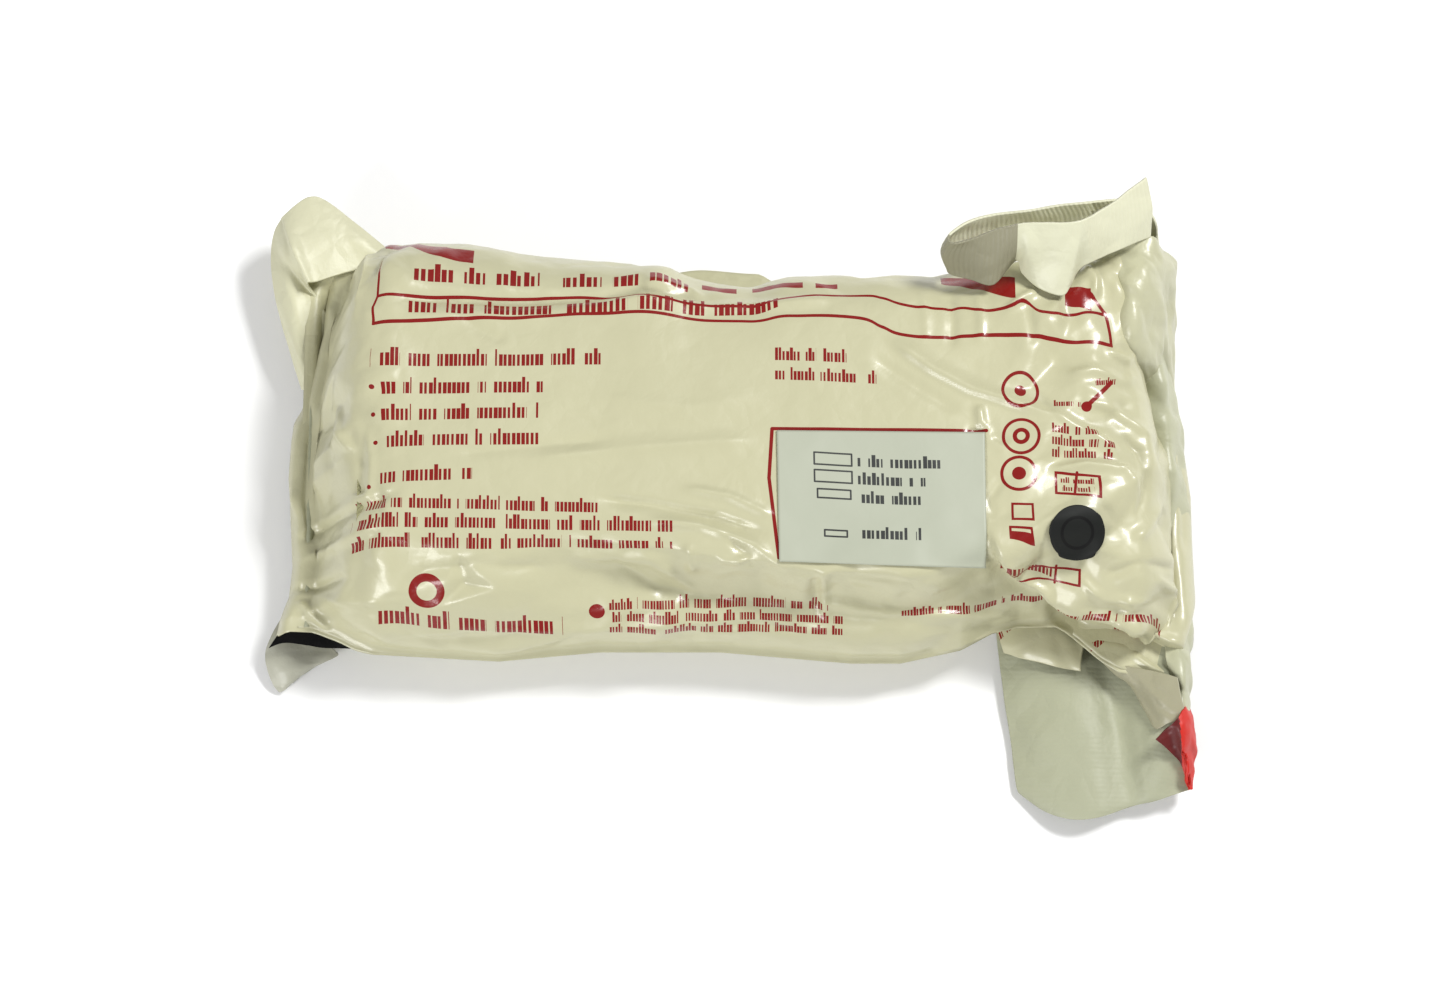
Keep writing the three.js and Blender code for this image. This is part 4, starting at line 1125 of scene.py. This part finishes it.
# the printed strip that shows between the lip and the flap, with the place whose print it carries
printedFacet = {
    "rows": [
        [(997, 630, 6.5), (1014, 619, 8), (1040, 616, 9), (1064, 622, 9), (1084, 642, 9.4)],
        [(1001, 645, 6), (1018, 645, 8), (1042, 648, 9.4), (1062, 655, 9.4), (1080, 664, 9.4)],
        [(1004, 654, 4.8), (1020, 658, 7), (1042, 663, 8.4), (1062, 668, 8.8), (1080, 671, 9)],
    ],
    "size": (16, 30),
    "wall": 0.45,
    "rough": (0.3, 4, 77),
    "carries": (962, 600),
    "turn": -0.05,
}

filmPart = sheetPart(filmGrid, film["wall"], filmFlat, film["coarse"])
reaches = zip([-1e4] + filmPrint["regions"], filmPrint["regions"] + [1e4])
printedFilms = [
    surfaced("printedFilm" + name, filmLook, partial(printMask, reach))
    for name, reach in zip(("Left", "Middle", "Right"), reaches)]
frontMesh = meshOf("frontFilm", [filmPart, stripPart(printedFacet)], regionOf)
dressedPiece("front_film", frontMesh, printedFilms)

# Back film: across and depth shares of its section, and each crumple's cell, seed and height
backLook = {
    "section": [(0.0, 0.0), (0.012, 0.3), (0.045, 0.62), (0.1, 0.88), (0.17, 1.0), (0.33, 1.0), (0.5, 1.0),
                (0.67, 1.0), (0.83, 1.0), (0.9, 0.88), (0.955, 0.62), (0.988, 0.3), (1.0, 0.0)],
    "columns": 180,
    "rows": 110,
    "sectionPoints": 160,
    "finPoints": 8,
    "wall": 0.3,
    "crumples": ((6.0, 51, 0.35), (14.0, 53, 0.4)),
    "behind": 0.7,  # how far it stays behind the front film's near edge
    "floor": 0.02,
}


def backSurface():
    weldFoot = pouch["weldLevel"] - pouch["gap"] / 2 - 0.1
    xs = alongPouch(backLook["columns"])
    near, far, nearFin, farFin = bodyEdges(xs)
    across = photo["middle"][0] + xs / photo["scale"]
    edge = np.interp(across, *np.array(nearEdge, float).T)
    nearest = fromPhoto(across, edge, np.full(len(xs), weldFoot))[1] + backLook["behind"]
    near = np.maximum(near, nearest + nearFin)
    inward = np.clip((halfLength - pouch["endWeld"] - np.abs(xs)) / pouch["backRound"], 0, 1)
    full = np.sqrt(1 - (1 - inward) ** 2)
    share = np.linspace(0, 1, backLook["sectionPoints"])
    section = curveThrough(backLook["section"], share)
    sealEnd = halfLength - pouch["sealRun"] - pouch["endWeld"]
    floor = pouch["sealLift"] * smooth(sealEnd - 3 * pouch["sealLift"], sealEnd - pouch["gap"], np.abs(xs))
    fin = np.linspace(1, 0, backLook["finPoints"], endpoint=False)
    level = np.full(len(fin), weldFoot)
    lines = []
    for k, x in enumerate(xs):
        y = mix(near[k], far[k], mix(share, section[:, 0], min(1, full[k] * 1.5)))
        z = np.maximum(weldFoot - np.clip(section[:, 1], 0, 1) * full[k] * (weldFoot - floor[k]), floor[k])
        lines.append(sectionLine(x, y, z, (near[k], far[k], nearFin[k], farFin[k]), fin, level))
    grid, length = evenRows(lines, backLook["rows"])
    flat = np.stack([np.broadcast_to(xs, length.shape), length], -1)
    # its crumples only ever lift it off the floor
    lift = np.abs(sum(height * crumpled(flat, cell, seed) for cell, seed, height in backLook["crumples"]))
    inside = smooth(weldFoot, weldFoot - 4, grid[..., 2])
    grid = grid + gridNormals(grid) * (blurred(lift, 0.9) * inside)[..., None]
    grid[..., 2] = np.maximum(grid[..., 2], backLook["floor"])
    return grid[:, ::-1], flat[:, ::-1]


print("back film")
backGrid, backFlat = backSurface()
dressedPiece("back_film", meshOf("backFilm", [sheetPart(backGrid, backLook["wall"], backFlat)]),
             [surfaced("plainFilm", plainLook)])

# The end seals. Each strip is a list of rows of (pixel, pixel, height in mm), eased into a smooth sheet
leftStrip = {
    "rows": [
        [(384, 246, 11), (384, 256, 11.5), (384, 268, 11)],
        [(352, 220, 13), (359, 240, 13.6), (368, 262, 12)],
        [(318, 194, 14), (332, 230, 14.6), (348, 266, 13)],
        [(301, 190, 14.3), (314, 232, 15), (328, 272, 14)],
        [(286, 199, 14), (296, 236, 15.6), (310, 278, 14.8)],
        [(274, 210, 13.5), (286, 243, 16.6), (302, 279, 15.4)],
        [(271, 214, 12.8), (283, 246, 15.6), (301, 283, 13.6)],
        [(264, 226, 12), (279, 254, 14.2), (305, 290, 11.6)],
        [(261, 243, 11), (281, 265, 13), (312, 300, 10)],
        [(262, 268, 10), (285, 284, 12.6), (320, 314, 9.2)],
        [(267, 297, 9), (288, 306, 12), (324, 332, 8.5)],
        [(274, 325, 8), (291, 331, 11), (322, 350, 8)],
        [(283, 356, 7), (295, 358, 9.5), (318, 372, 7.5)],
        [(294, 388, 6), (302, 388, 8), (318, 396, 7)],
    ],
    "size": (170, 46),
    "wall": 0.45,
    "rough": (0.16, 6, 61),
}
# the seal's tongue at the near left corner; its grey colour is partly the film and partly painted shadow
cornerTongue = {
    "rows": [
        [(288, 606, 4.6), (296, 606, 5), (306, 608, 4.6)],
        [(277, 622, 4.4), (288, 622, 4.6), (316, 626, 3.8)],
        [(268, 640, 4), (284, 642, 4.2), (330, 648, 3)],
        [(263, 655, 3.4), (284, 660, 4.2), (336, 656, 2.6)],
        [(266, 672, 2.6), (286, 672, 4), (320, 664, 2.4)],
        [(272, 687, 1.6), (286, 685, 2.8), (304, 674, 1.8)],
        [(277, 694, 0.9), (284, 691, 1.6), (292, 684, 1.2)],
    ],
    "size": (80, 44),
    "wall": 0.45,
    "rough": (0.34, 4, 63),
}
# a near-black sheet under the near left corner's lip: painted shadow, standing for the shade inside the
# pouch's open corner
mouthShadowSheet = {
    "rows": [
        [(268, 648, 6), (284, 643, 6.8), (304, 645, 7.2), (326, 648, 8.2), (352, 647, 9)],
        [(276, 636, 7.4), (290, 624, 8.4), (310, 624, 8.8), (330, 632, 9.4), (348, 646, 9.8)],
    ],
    "size": (40, 60),
    "wall": 0.3,
    "rough": (0.1, 4, 65),
}
cornerFlap = {
    "rows": [
        [(997, 622, 3), (1020, 622, 5.5), (1050, 622, 6.5), (1080, 622, 6.5), (1105, 622, 6), (1125, 624, 7),
         (1150, 626, 9.5), (1172, 630, 11.5)],
        [(1000, 655, 2.6), (1022, 656, 5.5), (1052, 660, 7), (1084, 664, 7), (1108, 668, 5.6),
         (1130, 670, 7), (1152, 671, 10.5), (1170, 672, 12.5)],
        [(1004, 690, 2.2), (1026, 692, 5), (1056, 696, 7), (1088, 700, 7.2), (1113, 704, 5.2),
         (1134, 704, 7.2), (1154, 703, 10.5), (1172, 700, 12.5)],
        [(1008, 724, 2), (1030, 728, 4.6), (1058, 732, 6.6), (1090, 734, 7.2), (1118, 738, 5.2),
         (1138, 738, 7.4), (1156, 734, 9.6), (1181, 728, 10.5)],
        [(1013, 762, 1.8), (1034, 768, 4), (1062, 774, 5.8), (1094, 776, 6.6), (1123, 776, 5),
         (1142, 772, 6.8), (1160, 767, 8), (1184, 760, 8)],
        [(1016, 786, 1.6), (1038, 798, 3.2), (1064, 804, 5), (1096, 804, 6), (1127, 799, 4.6),
         (1146, 794, 5.8), (1164, 788, 6.2), (1186, 780, 5.8)],
        [(1019, 793, 1.4), (1042, 809, 2.6), (1068, 817, 4.4), (1096, 815, 5.4), (1129, 805, 4.2),
         (1150, 800, 5), (1168, 794, 5.6), (1186, 788, 5.6)],
    ],
    "size": (100, 90),
    "wall": 0.5,
    "rough": (0.3, 8, 67),
}
endStrip = {
    "rows": [
        [(1130, 350, 19), (1158, 350, 21.5), (1173, 352, 14.5), (1177, 356, 9)],
        [(1134, 384, 18), (1164, 382, 20), (1180, 385, 12.5), (1182, 386, 8)],
        [(1140, 430, 15), (1169, 428, 17.5), (1187, 432, 10.5), (1188, 432, 6)],
        [(1150, 490, 12), (1172, 488, 14.4), (1191, 490, 8.8), (1190, 490, 5)],
        [(1160, 545, 11), (1174, 545, 11.8), (1190, 545, 7.6), (1189, 545, 4)],
        [(1160, 600, 10), (1174, 600, 10.8), (1190, 600, 7.2), (1189, 600, 3.6)],
        [(1162, 640, 12), (1178, 640, 12.6), (1192, 640, 8.5), (1190, 640, 4)],
        [(1168, 672, 12), (1180, 678, 13), (1190, 680, 8.5), (1188, 682, 4)],
        [(1174, 700, 11.5), (1180, 700, 12), (1187, 700, 8.5), (1185, 702, 4)],
        [(1175, 716, 11), (1180, 712, 11.5), (1185, 708, 8.5), (1184, 708, 4)],
    ],
    "size": (190, 30),
    "wall": 0.45,
    "rough": (1, 5.5, 69),
}
redTip = {
    "rows": [
        [(1151, 736, 12.6), (1161, 727, 13.8), (1172, 716, 15.2), (1181, 706, 14), (1187, 703, 9.4)],
        [(1160, 744, 11.8), (1167, 737, 12.4), (1175, 728, 14.8), (1185, 721, 13), (1192, 724, 8)],
        [(1169, 753, 10.8), (1173, 748, 11.4), (1178, 742, 13.2), (1188, 740, 11), (1196, 746, 6.8)],
        [(1177, 763, 9), (1179, 760, 9.6), (1182, 757, 11), (1188, 756, 9), (1194, 759, 5.6)],
        [(1184, 789, 6.6), (1185, 788, 6.9), (1186, 787, 7.2), (1188, 786, 6.2), (1190, 787, 4.6)],
    ],
    "size": (60, 44),
    "wall": 0.45,
    "rough": (0.55, 4, 73),
}
# the facet under the near right lip, its film darkened as painted shade
lipFacet = {
    "rows": [
        [(1100, 660, 9.4), (1128, 666, 11.4), (1152, 670, 13.2), (1174, 676, 14.2)],
        [(1114, 674, 9), (1134, 682, 11.2), (1154, 690, 13), (1177, 696, 14)],
        [(1128, 684, 8.8), (1144, 702, 10.6), (1160, 710, 12.6), (1180, 708, 13.6)],
        [(1146, 714, 8.8), (1152, 727, 10.4), (1163, 722, 12), (1181, 714, 13)],
    ],
    "size": (44, 44),
    "wall": 0.45,
    "rough": (0.35, 5, 75),
}
cornerPuff = {
    "rows": [
        [(1092, 258, 24), (1108, 248, 29), (1127, 241, 31.8), (1149, 238, 31.4), (1165, 246, 28),
         (1177, 258, 23), (1182, 275, 15), (1183, 292, 8)],
        [(1104, 282, 26.4), (1115, 277, 30.8), (1128, 270, 33.4), (1148, 264, 33.4), (1165, 270, 30),
         (1176, 284, 23), (1182, 300, 16), (1184, 312, 9)],
        [(1110, 308, 27.6), (1119, 304, 31), (1130, 300, 33.2), (1147, 297, 32.2), (1162, 302, 28),
         (1172, 310, 22), (1179, 322, 16), (1183, 330, 10)],
        [(1112, 334, 26.8), (1121, 333, 30), (1131, 333, 31.4), (1144, 336, 29.4), (1156, 342, 24.8),
         (1167, 350, 19.6), (1175, 358, 14), (1180, 363, 9)],
        [(1115, 360, 23), (1124, 361, 25.6), (1133, 363, 26.2), (1144, 367, 24.2), (1155, 374, 20.4),
         (1166, 381, 15.4), (1174, 388, 11), (1178, 392, 7)],
        [(1118, 388, 14), (1127, 390, 15.4), (1136, 393, 16), (1147, 398, 15.6), (1158, 404, 14.4),
         (1167, 410, 11.6), (1176, 415, 8), (1180, 418, 5)],
    ],
    "size": (78, 74),
    "wall": 0.45,
    "rough": (1, 5.5, 79),
}
# the curled corner, in millimetres: its foot, a place half way up and its rim, along its run
curledCorner = {
    "rows": [
        [(80, 33, 9), (80.5, 34.5, 12), (80.5, 35.5, 16)],
        [(81, 39, 14), (81.6, 41, 20), (81, 42.6, 26)],
        [(77, 40.6, 19), (77.4, 43.4, 26.5), (76.4, 45.2, 32.4)],
        [(70, 40, 24), (70.4, 42.6, 31), (69, 44, 36)],
        [(59, 38.5, 27), (59.6, 41, 33), (58.4, 42, 37.6)],
        [(47, 35.6, 30), (46.4, 38.4, 35.6), (46.6, 39.4, 39.6)],
        [(41, 33, 32), (39.6, 34.6, 37), (40.6, 35.6, 41)],
        [(40.2, 29.8, 34.4), (39.4, 31.6, 38.6), (40.8, 32.8, 42.4)],
        [(44.6, 28.2, 35), (44.4, 31, 39.8), (45, 33.4, 43.4)],
        [(48.8, 27.2, 35.2), (49.2, 31.2, 40.2), (49.2, 35, 44)],
        [(53, 31.6, 36), (53.2, 32.4, 40.6), (53.2, 36, 44.2)],
        [(54.2, 29.6, 35.2), (55, 31.4, 40.4), (55.4, 36.2, 44.3)],
        [(57.4, 26.6, 35.2), (57.8, 31.6, 40), (57.6, 36.2, 44.4)],
        [(61.6, 25, 35.4), (61.6, 30.4, 39.6), (61.2, 36.2, 44.4)],
        [(63.4, 27, 35.6), (64, 30.8, 39.8), (64.4, 36.6, 44.2)],
        [(65.4, 30.6, 35.4), (66, 33.4, 39.4), (66.8, 37.6, 43.8)],
        [(69.4, 32.6, 35.6), (69.6, 35.8, 39.6), (69.8, 39.6, 43.4)],
        [(73, 34.4, 35.2), (73, 38, 38.8), (72.6, 41.8, 43)],
        [(79, 38, 32), (79, 41.8, 37.4), (77.6, 46, 42.6)],
    ],
    "size": (200, 34),
    "wall": 0.5,
    "rough": (0.22, 5, 71),
    "ribsUpright": True,
}
# the seal folded round and back under each end
underBand = {
    "path": [(0.0, 0.0, 1.0), (0.8, 0.0, 0.86), (1.0, 0.0, 0.55), (0.7, 0.0, 0.25), (0.0, 0.08, 0.02),
             (0.0, 0.45, 0.0), (0.0, 1.0, 0.0)],  # outward, inward and height shares
    "start": {-1: -1.5, 1: -0.2},
    "run": 17.0,
    "over": 0.5,  # how far it starts above the weld
    "spans": {-1: (-33.0, 13.0), 1: (-33.0, 24.0)},
    "size": (60, 50),
    "wall": 1.2,
}


def bandPart(side):
    path = curveThrough(underBand["path"], np.linspace(0, 1, underBand["size"][1]))
    ys = np.linspace(*underBand["spans"][side], underBand["size"][0])
    x = halfLength + underBand["start"][side] + path[:, 0] - path[:, 1] * underBand["run"]
    z = np.maximum(path[:, 2] * (pouch["weldLevel"] + underBand["over"]), 0.0)
    grid = np.stack(np.broadcast_arrays(side * x[:, None], ys[None], z[:, None]), -1)
    grid = grid[:, ::-side]
    return sheetPart(grid, underBand["wall"], flatOf(grid))


print("end seals")
# each film's colour, and what differs from the plain one's look
sealFilms = {
    "sealedFilm": ((0.54, 0.53, 0.37), {"rough": 0.06}),
    "ribbedFilm": ((0.62, 0.615, 0.45), {"rough": 0.1, "ribs": 0.1}),
    "dullFilm": ((0.335, 0.345, 0.238), {"rough": 0.16, "ribs": 0.03}),
    "redFilm": ((0.52, 0.014, 0.006), {"rough": 0.16}),
    # painted shadow: near black, for the shade inside the left corner's mouth
    "paintedShadowFilm": ((0.003, 0.003, 0.003), {"rough": 0.3, "gloss": 0.08}),
    "smoothFilm": ((0.60, 0.60, 0.44), {"rough": 0.06}),
    # painted shade: the red tip where it turns away from the light
    "shadedRedFilm": ((0.10, 0.005, 0.005), {"rough": 0.1}),
    # painted shade and painted light: the curl's left wall darkened, its inside brightened
    "shadedRibbedFilm": ((0.26, 0.248, 0.168), {"rough": 0.14, "ribs": 0.16}),
    "litRibbedFilm": ((0.93, 0.93, 0.74), {"rough": 0.1, "ribs": 0.1}),
    # painted shade: the folded end strip, darker than the film to stand for its shading
    "shadedEndFilm": ((0.41, 0.413, 0.284), {}),
    "cornerFilm": ((0.44, 0.434, 0.292), {"rough": -0.03}),
    # painted shade: the facet under the right lip, darker than the film to stand for its shade
    "shadedLipFilm": ((0.315, 0.3, 0.2), {"rough": 0.04}),
    # partly painted shadow: the tongue's grey holds both the seal's film and the shadow round the corner
    "tongueAndShadowFilm": ((0.38, 0.378, 0.305), {"rough": 0.04}),
}
sealNames = list(sealFilms)
sealLooks = [
    surfaced(name, {**plainLook, "colour": colour, "ribPitch": 0.95, **more})
    for name, (colour, more) in sealFilms.items()]


def sealLook(name):
    return sealNames.index(name)


# where the curled corner's looks meet, in mm, and where the tip's red passes to red with painted shade, in
# pixels
curlSplit = {"near": (31.5, 35, 0.55), "inside": (68, 35.2, 47, 0.25), "ridge": 53.0}
tipSplit = (1174, 718, 0.1)


def curlLook(corners):
    # ribbed round the back and on its left part, smooth past the upright ridge; the near wall's left part is
    # painted shade and the inside of the curl painted light
    x, y, z = corners.mean(1).T
    start, height, slope = curlSplit["near"]
    near = y < start + (z - height) * slope
    inside = np.cross(corners[:, 1] - corners[:, 0], corners[:, 2] - corners[:, 0])[:, 1] < 0
    end, start, across, slope = curlSplit["inside"]
    inside &= (x < end) & (y > start + (x - across) * slope)
    far = np.where(inside, sealLook("litRibbedFilm"), sealLook("ribbedFilm"))
    front = np.where(x > curlSplit["ridge"], sealLook("smoothFilm"), sealLook("shadedRibbedFilm"))
    return np.where(near, front, far)


def tipLook(corners):
    # the part turned away from the light gets a darker red: painted shade
    seen = toPhoto(corners.mean(1))
    away = seen[:, 0] < tipSplit[0] + (seen[:, 1] - tipSplit[1]) * tipSplit[2]
    return np.where(away, sealLook("shadedRedFilm"), sealLook("redFilm"))


leftParts = {
    "band": (bandPart(-1), sealLook("dullFilm")),
    "fold": (stripPart(leftStrip), sealLook("sealedFilm")),
    "tongue": (stripPart(cornerTongue), sealLook("tongueAndShadowFilm")),
    # the mouth's sheet is painted shadow
    "mouth": (stripPart(mouthShadowSheet), sealLook("paintedShadowFilm")),
}
rightParts = {
    "band": (bandPart(1), sealLook("dullFilm")),
    "flap": (stripPart(cornerFlap), sealLook("dullFilm")),
    # the end strip carries painted shade
    "end": (stripPart(endStrip), sealLook("shadedEndFilm")),
    "tip": (stripPart(redTip), tipLook),
    "curl": (stripPart(curledCorner, inPixels=False), curlLook),
    # the lip facet carries painted shade
    "lip": (stripPart(lipFacet), sealLook("shadedLipFilm")),
    "puff": (stripPart(cornerPuff), sealLook("cornerFilm")),
}
for name, parts in (("left", leftParts), ("right", rightParts)):
    sheets, looks = zip(*parts.values())
    dressedPiece(name + "_end_seal", meshOf(name + "EndSeal", sheets, list(looks)), sealLooks)


# Label and disc, laid on the film
filmPoints, filmFaces = filmPart[0], filmPart[1][0]
filmTree = BVHTree.FromPolygons([Vector(point) for point in filmPoints], [tuple(face) for face in filmFaces])
rayStart = 60.0  # how far before the film the lines of sight start


def laidOn(places, lift, soft):
    # places over the film, given as pixels, brought down to it and smoothed along the line of sight
    view = Vector((0, cosView, -sinView))
    starts = np.zeros(places.shape[:2] + (3,))
    depth = np.full(places.shape[:2], rayStart)
    for index in np.ndindex(places.shape[:2]):
        start = Vector(fromPhoto(*places[index], photo["level"])) - view * rayStart
        starts[index] = start
        hit = filmTree.ray_cast(start, view)
        if hit[0]:
            depth[index] = hit[3]
    depth = blurred(np.minimum(blurred(depth, soft), depth), soft / 2) - lift
    return starts + depth[..., None] * np.array(view)


def shares(size, low=0):
    return np.meshgrid(np.linspace(low, 1, size[0]), np.linspace(low, 1, size[1]))


labelLook = {
    "corners": [(778, 560), (981, 567), (981, 433), (776, 431)],  # from the near left one round
    "size": (90, 60),
    "wall": 0.16,
    "lift": 0.4,
    "soft": 4.0,
    "colour": (0.37, 0.39, 0.305),
    "ink": (0.02, 0.022, 0.02),
    "mottle": 0.05,
    "rough": 0.14,
    "bump": (0.2, 0.0002),
    # in mm from the label's near left corner: left, top and width of each row of bars
    "rows": [(15.0, 21.4, 15.5), (15.0, 17.9, 12.6), (15.6, 14.3, 11.2), (15.6, 7.4, 11.0)],
    "bars": (2.4, 1.75),
    "firstSeed": 44,
    # left, low, right and high
    "boxes": [(6.9, 19, 13.9, 21.3), (6.9, 15.6, 13.9, 17.9), (7.4, 12.5, 13.6, 14.2), (8.6, 5.2, 12.8, 6.4)],
    "halfLine": 0.17,
}
discLook = {
    "middle": (1070, 532),
    "radius": 27.5,
    "size": (44, 44),
    "wall": 0.7,
    "lift": 1.35,
    "soft": 6.0,
    "colour": (0.008, 0.009, 0.008),
    "ink": (0.002, 0.002, 0.002),
    "mottle": 0.2,
    "rough": 0.2,
    "gloss": 0.2,
    "bump": (0.2, 0.0002),
    "ring": (2.6, 3.2),
}


def labelPrint(tree):
    here, ink = placeOf(tree), None
    for number, (left, top, width) in enumerate(labelLook["rows"]):
        seed = labelLook["firstSeed"] + number
        ink = alsoInk(ink, rowsMask(tree, here, (left, top), width, *labelLook["bars"], seed))
    for left, low, right, high in labelLook["boxes"]:
        corners = [(left, low), (right, low), (right, high), (left, high), (left, low)]
        for start, stop in zip(corners, corners[1:]):
            ink = alsoInk(ink, lineMask(tree, here, start, stop, labelLook["halfLine"]))
    return ink


def labelGrid():
    nearLeft, nearRight, farRight, farLeft = np.array(labelLook["corners"])
    u, v = shares(labelLook["size"])
    near, far = mix(nearLeft, nearRight, u[..., None]), mix(farLeft, farRight, u[..., None])
    return laidOn(mix(near, far, v[..., None]), labelLook["lift"], labelLook["soft"])


def discPrint(tree):
    return ringMask(tree, placeOf(tree), (0, 0), *discLook["ring"])


def discGrid():
    # a square grid rounded to a disc
    u, v = shares(discLook["size"], -1)
    rounded = np.stack([u * np.sqrt(1 - v**2 / 2), v * np.sqrt(1 - u**2 / 2)], -1)
    places = np.array(discLook["middle"]) + rounded * (1, -1) * discLook["radius"]
    grid = laidOn(places, discLook["lift"], discLook["soft"])
    return grid, rounded * discLook["radius"] * photo["scale"]


print("label and disc")
paper = labelGrid()
dressedPiece("label", meshOf("label", [sheetPart(paper, labelLook["wall"], flatOf(paper))]),
             [surfaced("labelPaper", labelLook, labelPrint)])
discSheet, discFlat = discGrid()
dressedPiece("round_sticker", meshOf("disc", [sheetPart(discSheet, discLook["wall"], discFlat)]),
             [surfaced("darkDisc", discLook, discPrint)])


# What lies inside: a quilted pad, and the other pieces in the model's own forms
clothLook = {
    "weave": 0.1,
    "base": 0.75,
    "fuzz": (900.0, 3.0, 0.6, 4.0),
    "fuzzTint": 0.5,
    "rough": 0.95,
    "bump": (0.6, 0.0003),
}
plasticLook = {"colour": (0.76, 0.76, 0.7), "mottle": 0.05, "rough": 0.12, "bump": (0.2, 0.0002)}
padLook = {
    "size": (60, 44),
    "edge": 6.0,  # how square its outline's fall is
    "pullIn": 0.03,
    "quilt": 0.22,
    "quiltPitch": 9.0,
    "fill": 0.5,
    "cloth": (0.84, 0.83, 0.78),
    "threadPitch": 0.7,
}
wrapLook = {"cloth": (0.26, 0.25, 0.13), "threadPitch": 0.9}


def wovenCloth(name, colour, pitch):
    material, tree, shader = newMaterial(name)
    place = tree.nodes.new("ShaderNodeTexCoord").outputs["Object"]
    across = splitVector(tree, place)
    warp, weft = (mathNode("SINE", multiply(across[way], 2 * math.pi / (pitch * mm))) for way in ("X", "Y"))
    weave = multiply(warp, weft)
    fuzz = noise(tree, place, *clothLook["fuzz"])
    tint = add(clothLook["base"], multiply(fuzz, clothLook["fuzzTint"]))
    tint = add(multiply(weave, clothLook["weave"]), tint)
    tree.links.new(shaded(tree, colour, tint), shader.inputs["Base Color"])
    shader.inputs["Roughness"].default_value = clothLook["rough"]
    bump(tree, shader, add(weave, fuzz), *clothLook["bump"])
    return material


def padPart():
    # a crowned, quilted pad in its node's box, closed along a seam round its edge
    low, high = ((np.array(corner) - np.array(pouchMiddle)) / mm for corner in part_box("wound_pad"))
    middle, half = (high + low) / 2, (high - low) / 2
    u, v = shares(padLook["size"], -1)
    x = u * half[0] * (1 - padLook["pullIn"] * (1 - v**2))
    y = v * half[1] * (1 - padLook["pullIn"] * (1 - u**2))
    full = np.sqrt((1 - np.abs(u) ** padLook["edge"]) * (1 - np.abs(v) ** padLook["edge"]))
    wave = np.cos(2 * math.pi * x / padLook["quiltPitch"]) * np.cos(2 * math.pi * y / padLook["quiltPitch"])
    rise = full * (half[2] - padLook["quilt"] * (1 - wave) / 2)
    top, under = (np.stack([x, y, way * rise], -1) + middle for way in (1, -1))
    inner = np.zeros(u.shape, bool)
    inner[1:-1, 1:-1] = True
    upper = numbered(u.shape)
    lower = upper.copy()
    lower[inner] = u.size + np.arange(inner.sum())
    points = np.concatenate([top.reshape(-1, 3), under[inner]])
    return points, [quadsOf(upper), quadsOf(lower)[:, ::-1]], points[:, :2]


print("inside")
padCloth = wovenCloth("padCloth", padLook["cloth"], padLook["threadPitch"])
padPiece = dressedPiece("wound_pad", meshOf("pad", [padPart()]), [padCloth])

elasticCloth = wovenCloth("elasticCloth", wrapLook["cloth"], wrapLook["threadPitch"])
mouldedPlastic = surfaced("mouldedPlastic", plasticLook)
keptForms = {
    "elastic_wrap": elasticCloth,
    "pressure_applicator": mouldedPlastic,
    "closure_bar": mouldedPlastic,
}
for name, material in keptForms.items():
    for piece in nodes[name] if isinstance(nodes[name], (list, tuple)) else [nodes[name]]:
        piece.data.materials.clear()
        piece.data.materials.append(material)

# Studio: place and size in metres, power in watts
studio = {
    "key": ((0.66, 0.42, 1.05), (0.34, 0.26), 16.5),
    "fill": ((-0.6, -0.8, 0.62), (0.55, 0.35), 9.5),
    "aim": (0, 0, 0.02),
    "world": 0.36,
    "floor": 0.9,
    "floorReach": 3,
}


def makeCamera():
    data = bpy.data.cameras.new("camera")
    data.lens = photo["lens"]
    data.sensor_width = photo["sensor"]
    data.clip_start, data.clip_end = photo["clip"]
    camera = linkObject("camera", data)
    distance = photo["frame"][0] * photo["scale"] * mm * photo["lens"] / photo["sensor"]
    middle = fromPhoto(photo["frame"][0] / 2, photo["frame"][1] / 2, photo["level"])
    back = Vector((0, -cosView, sinView))
    camera.location = Vector(middle * mm) + pouchMiddle + back * distance
    camera.rotation_euler = (-back).to_track_quat("-Z", "Y").to_euler()
    bpy.context.scene.camera = camera


def areaLight(name, place, size, power):
    data = bpy.data.lights.new(name, "AREA")
    data.shape = "RECTANGLE"
    data.size, data.size_y = size
    data.energy = power
    light = linkObject(name, data)
    light.location = place
    light.rotation_euler = (Vector(studio["aim"]) - Vector(place)).to_track_quat("-Z", "Y").to_euler()


def makeStudio():
    for name in ("key", "fill"):
        areaLight(name, *studio[name])
    world = bpy.data.worlds.new("studio")
    world.use_nodes = True
    background = world.node_tree.nodes["Background"].inputs
    background["Color"].default_value = (1, 1, 1, 1)
    background["Strength"].default_value = studio["world"]
    bpy.context.scene.world = world
    bpy.context.scene.view_settings.view_transform = "Standard"
    mesh = bpy.data.meshes.new("floor")
    reach = studio["floorReach"]
    corners = [(-reach, -reach, 0), (reach, -reach, 0), (reach, reach, 0), (-reach, reach, 0)]
    mesh.from_pydata(corners, [], [(0, 1, 2, 3)])
    material, tree, shader = newMaterial("paleFloor")
    shader.inputs["Base Color"].default_value = (*[studio["floor"]] * 3, 1)
    shader.inputs["Roughness"].default_value = 0.9
    mesh.materials.append(material)
    linkObject("floor", mesh)


print("studio")
makeCamera()
makeStudio()
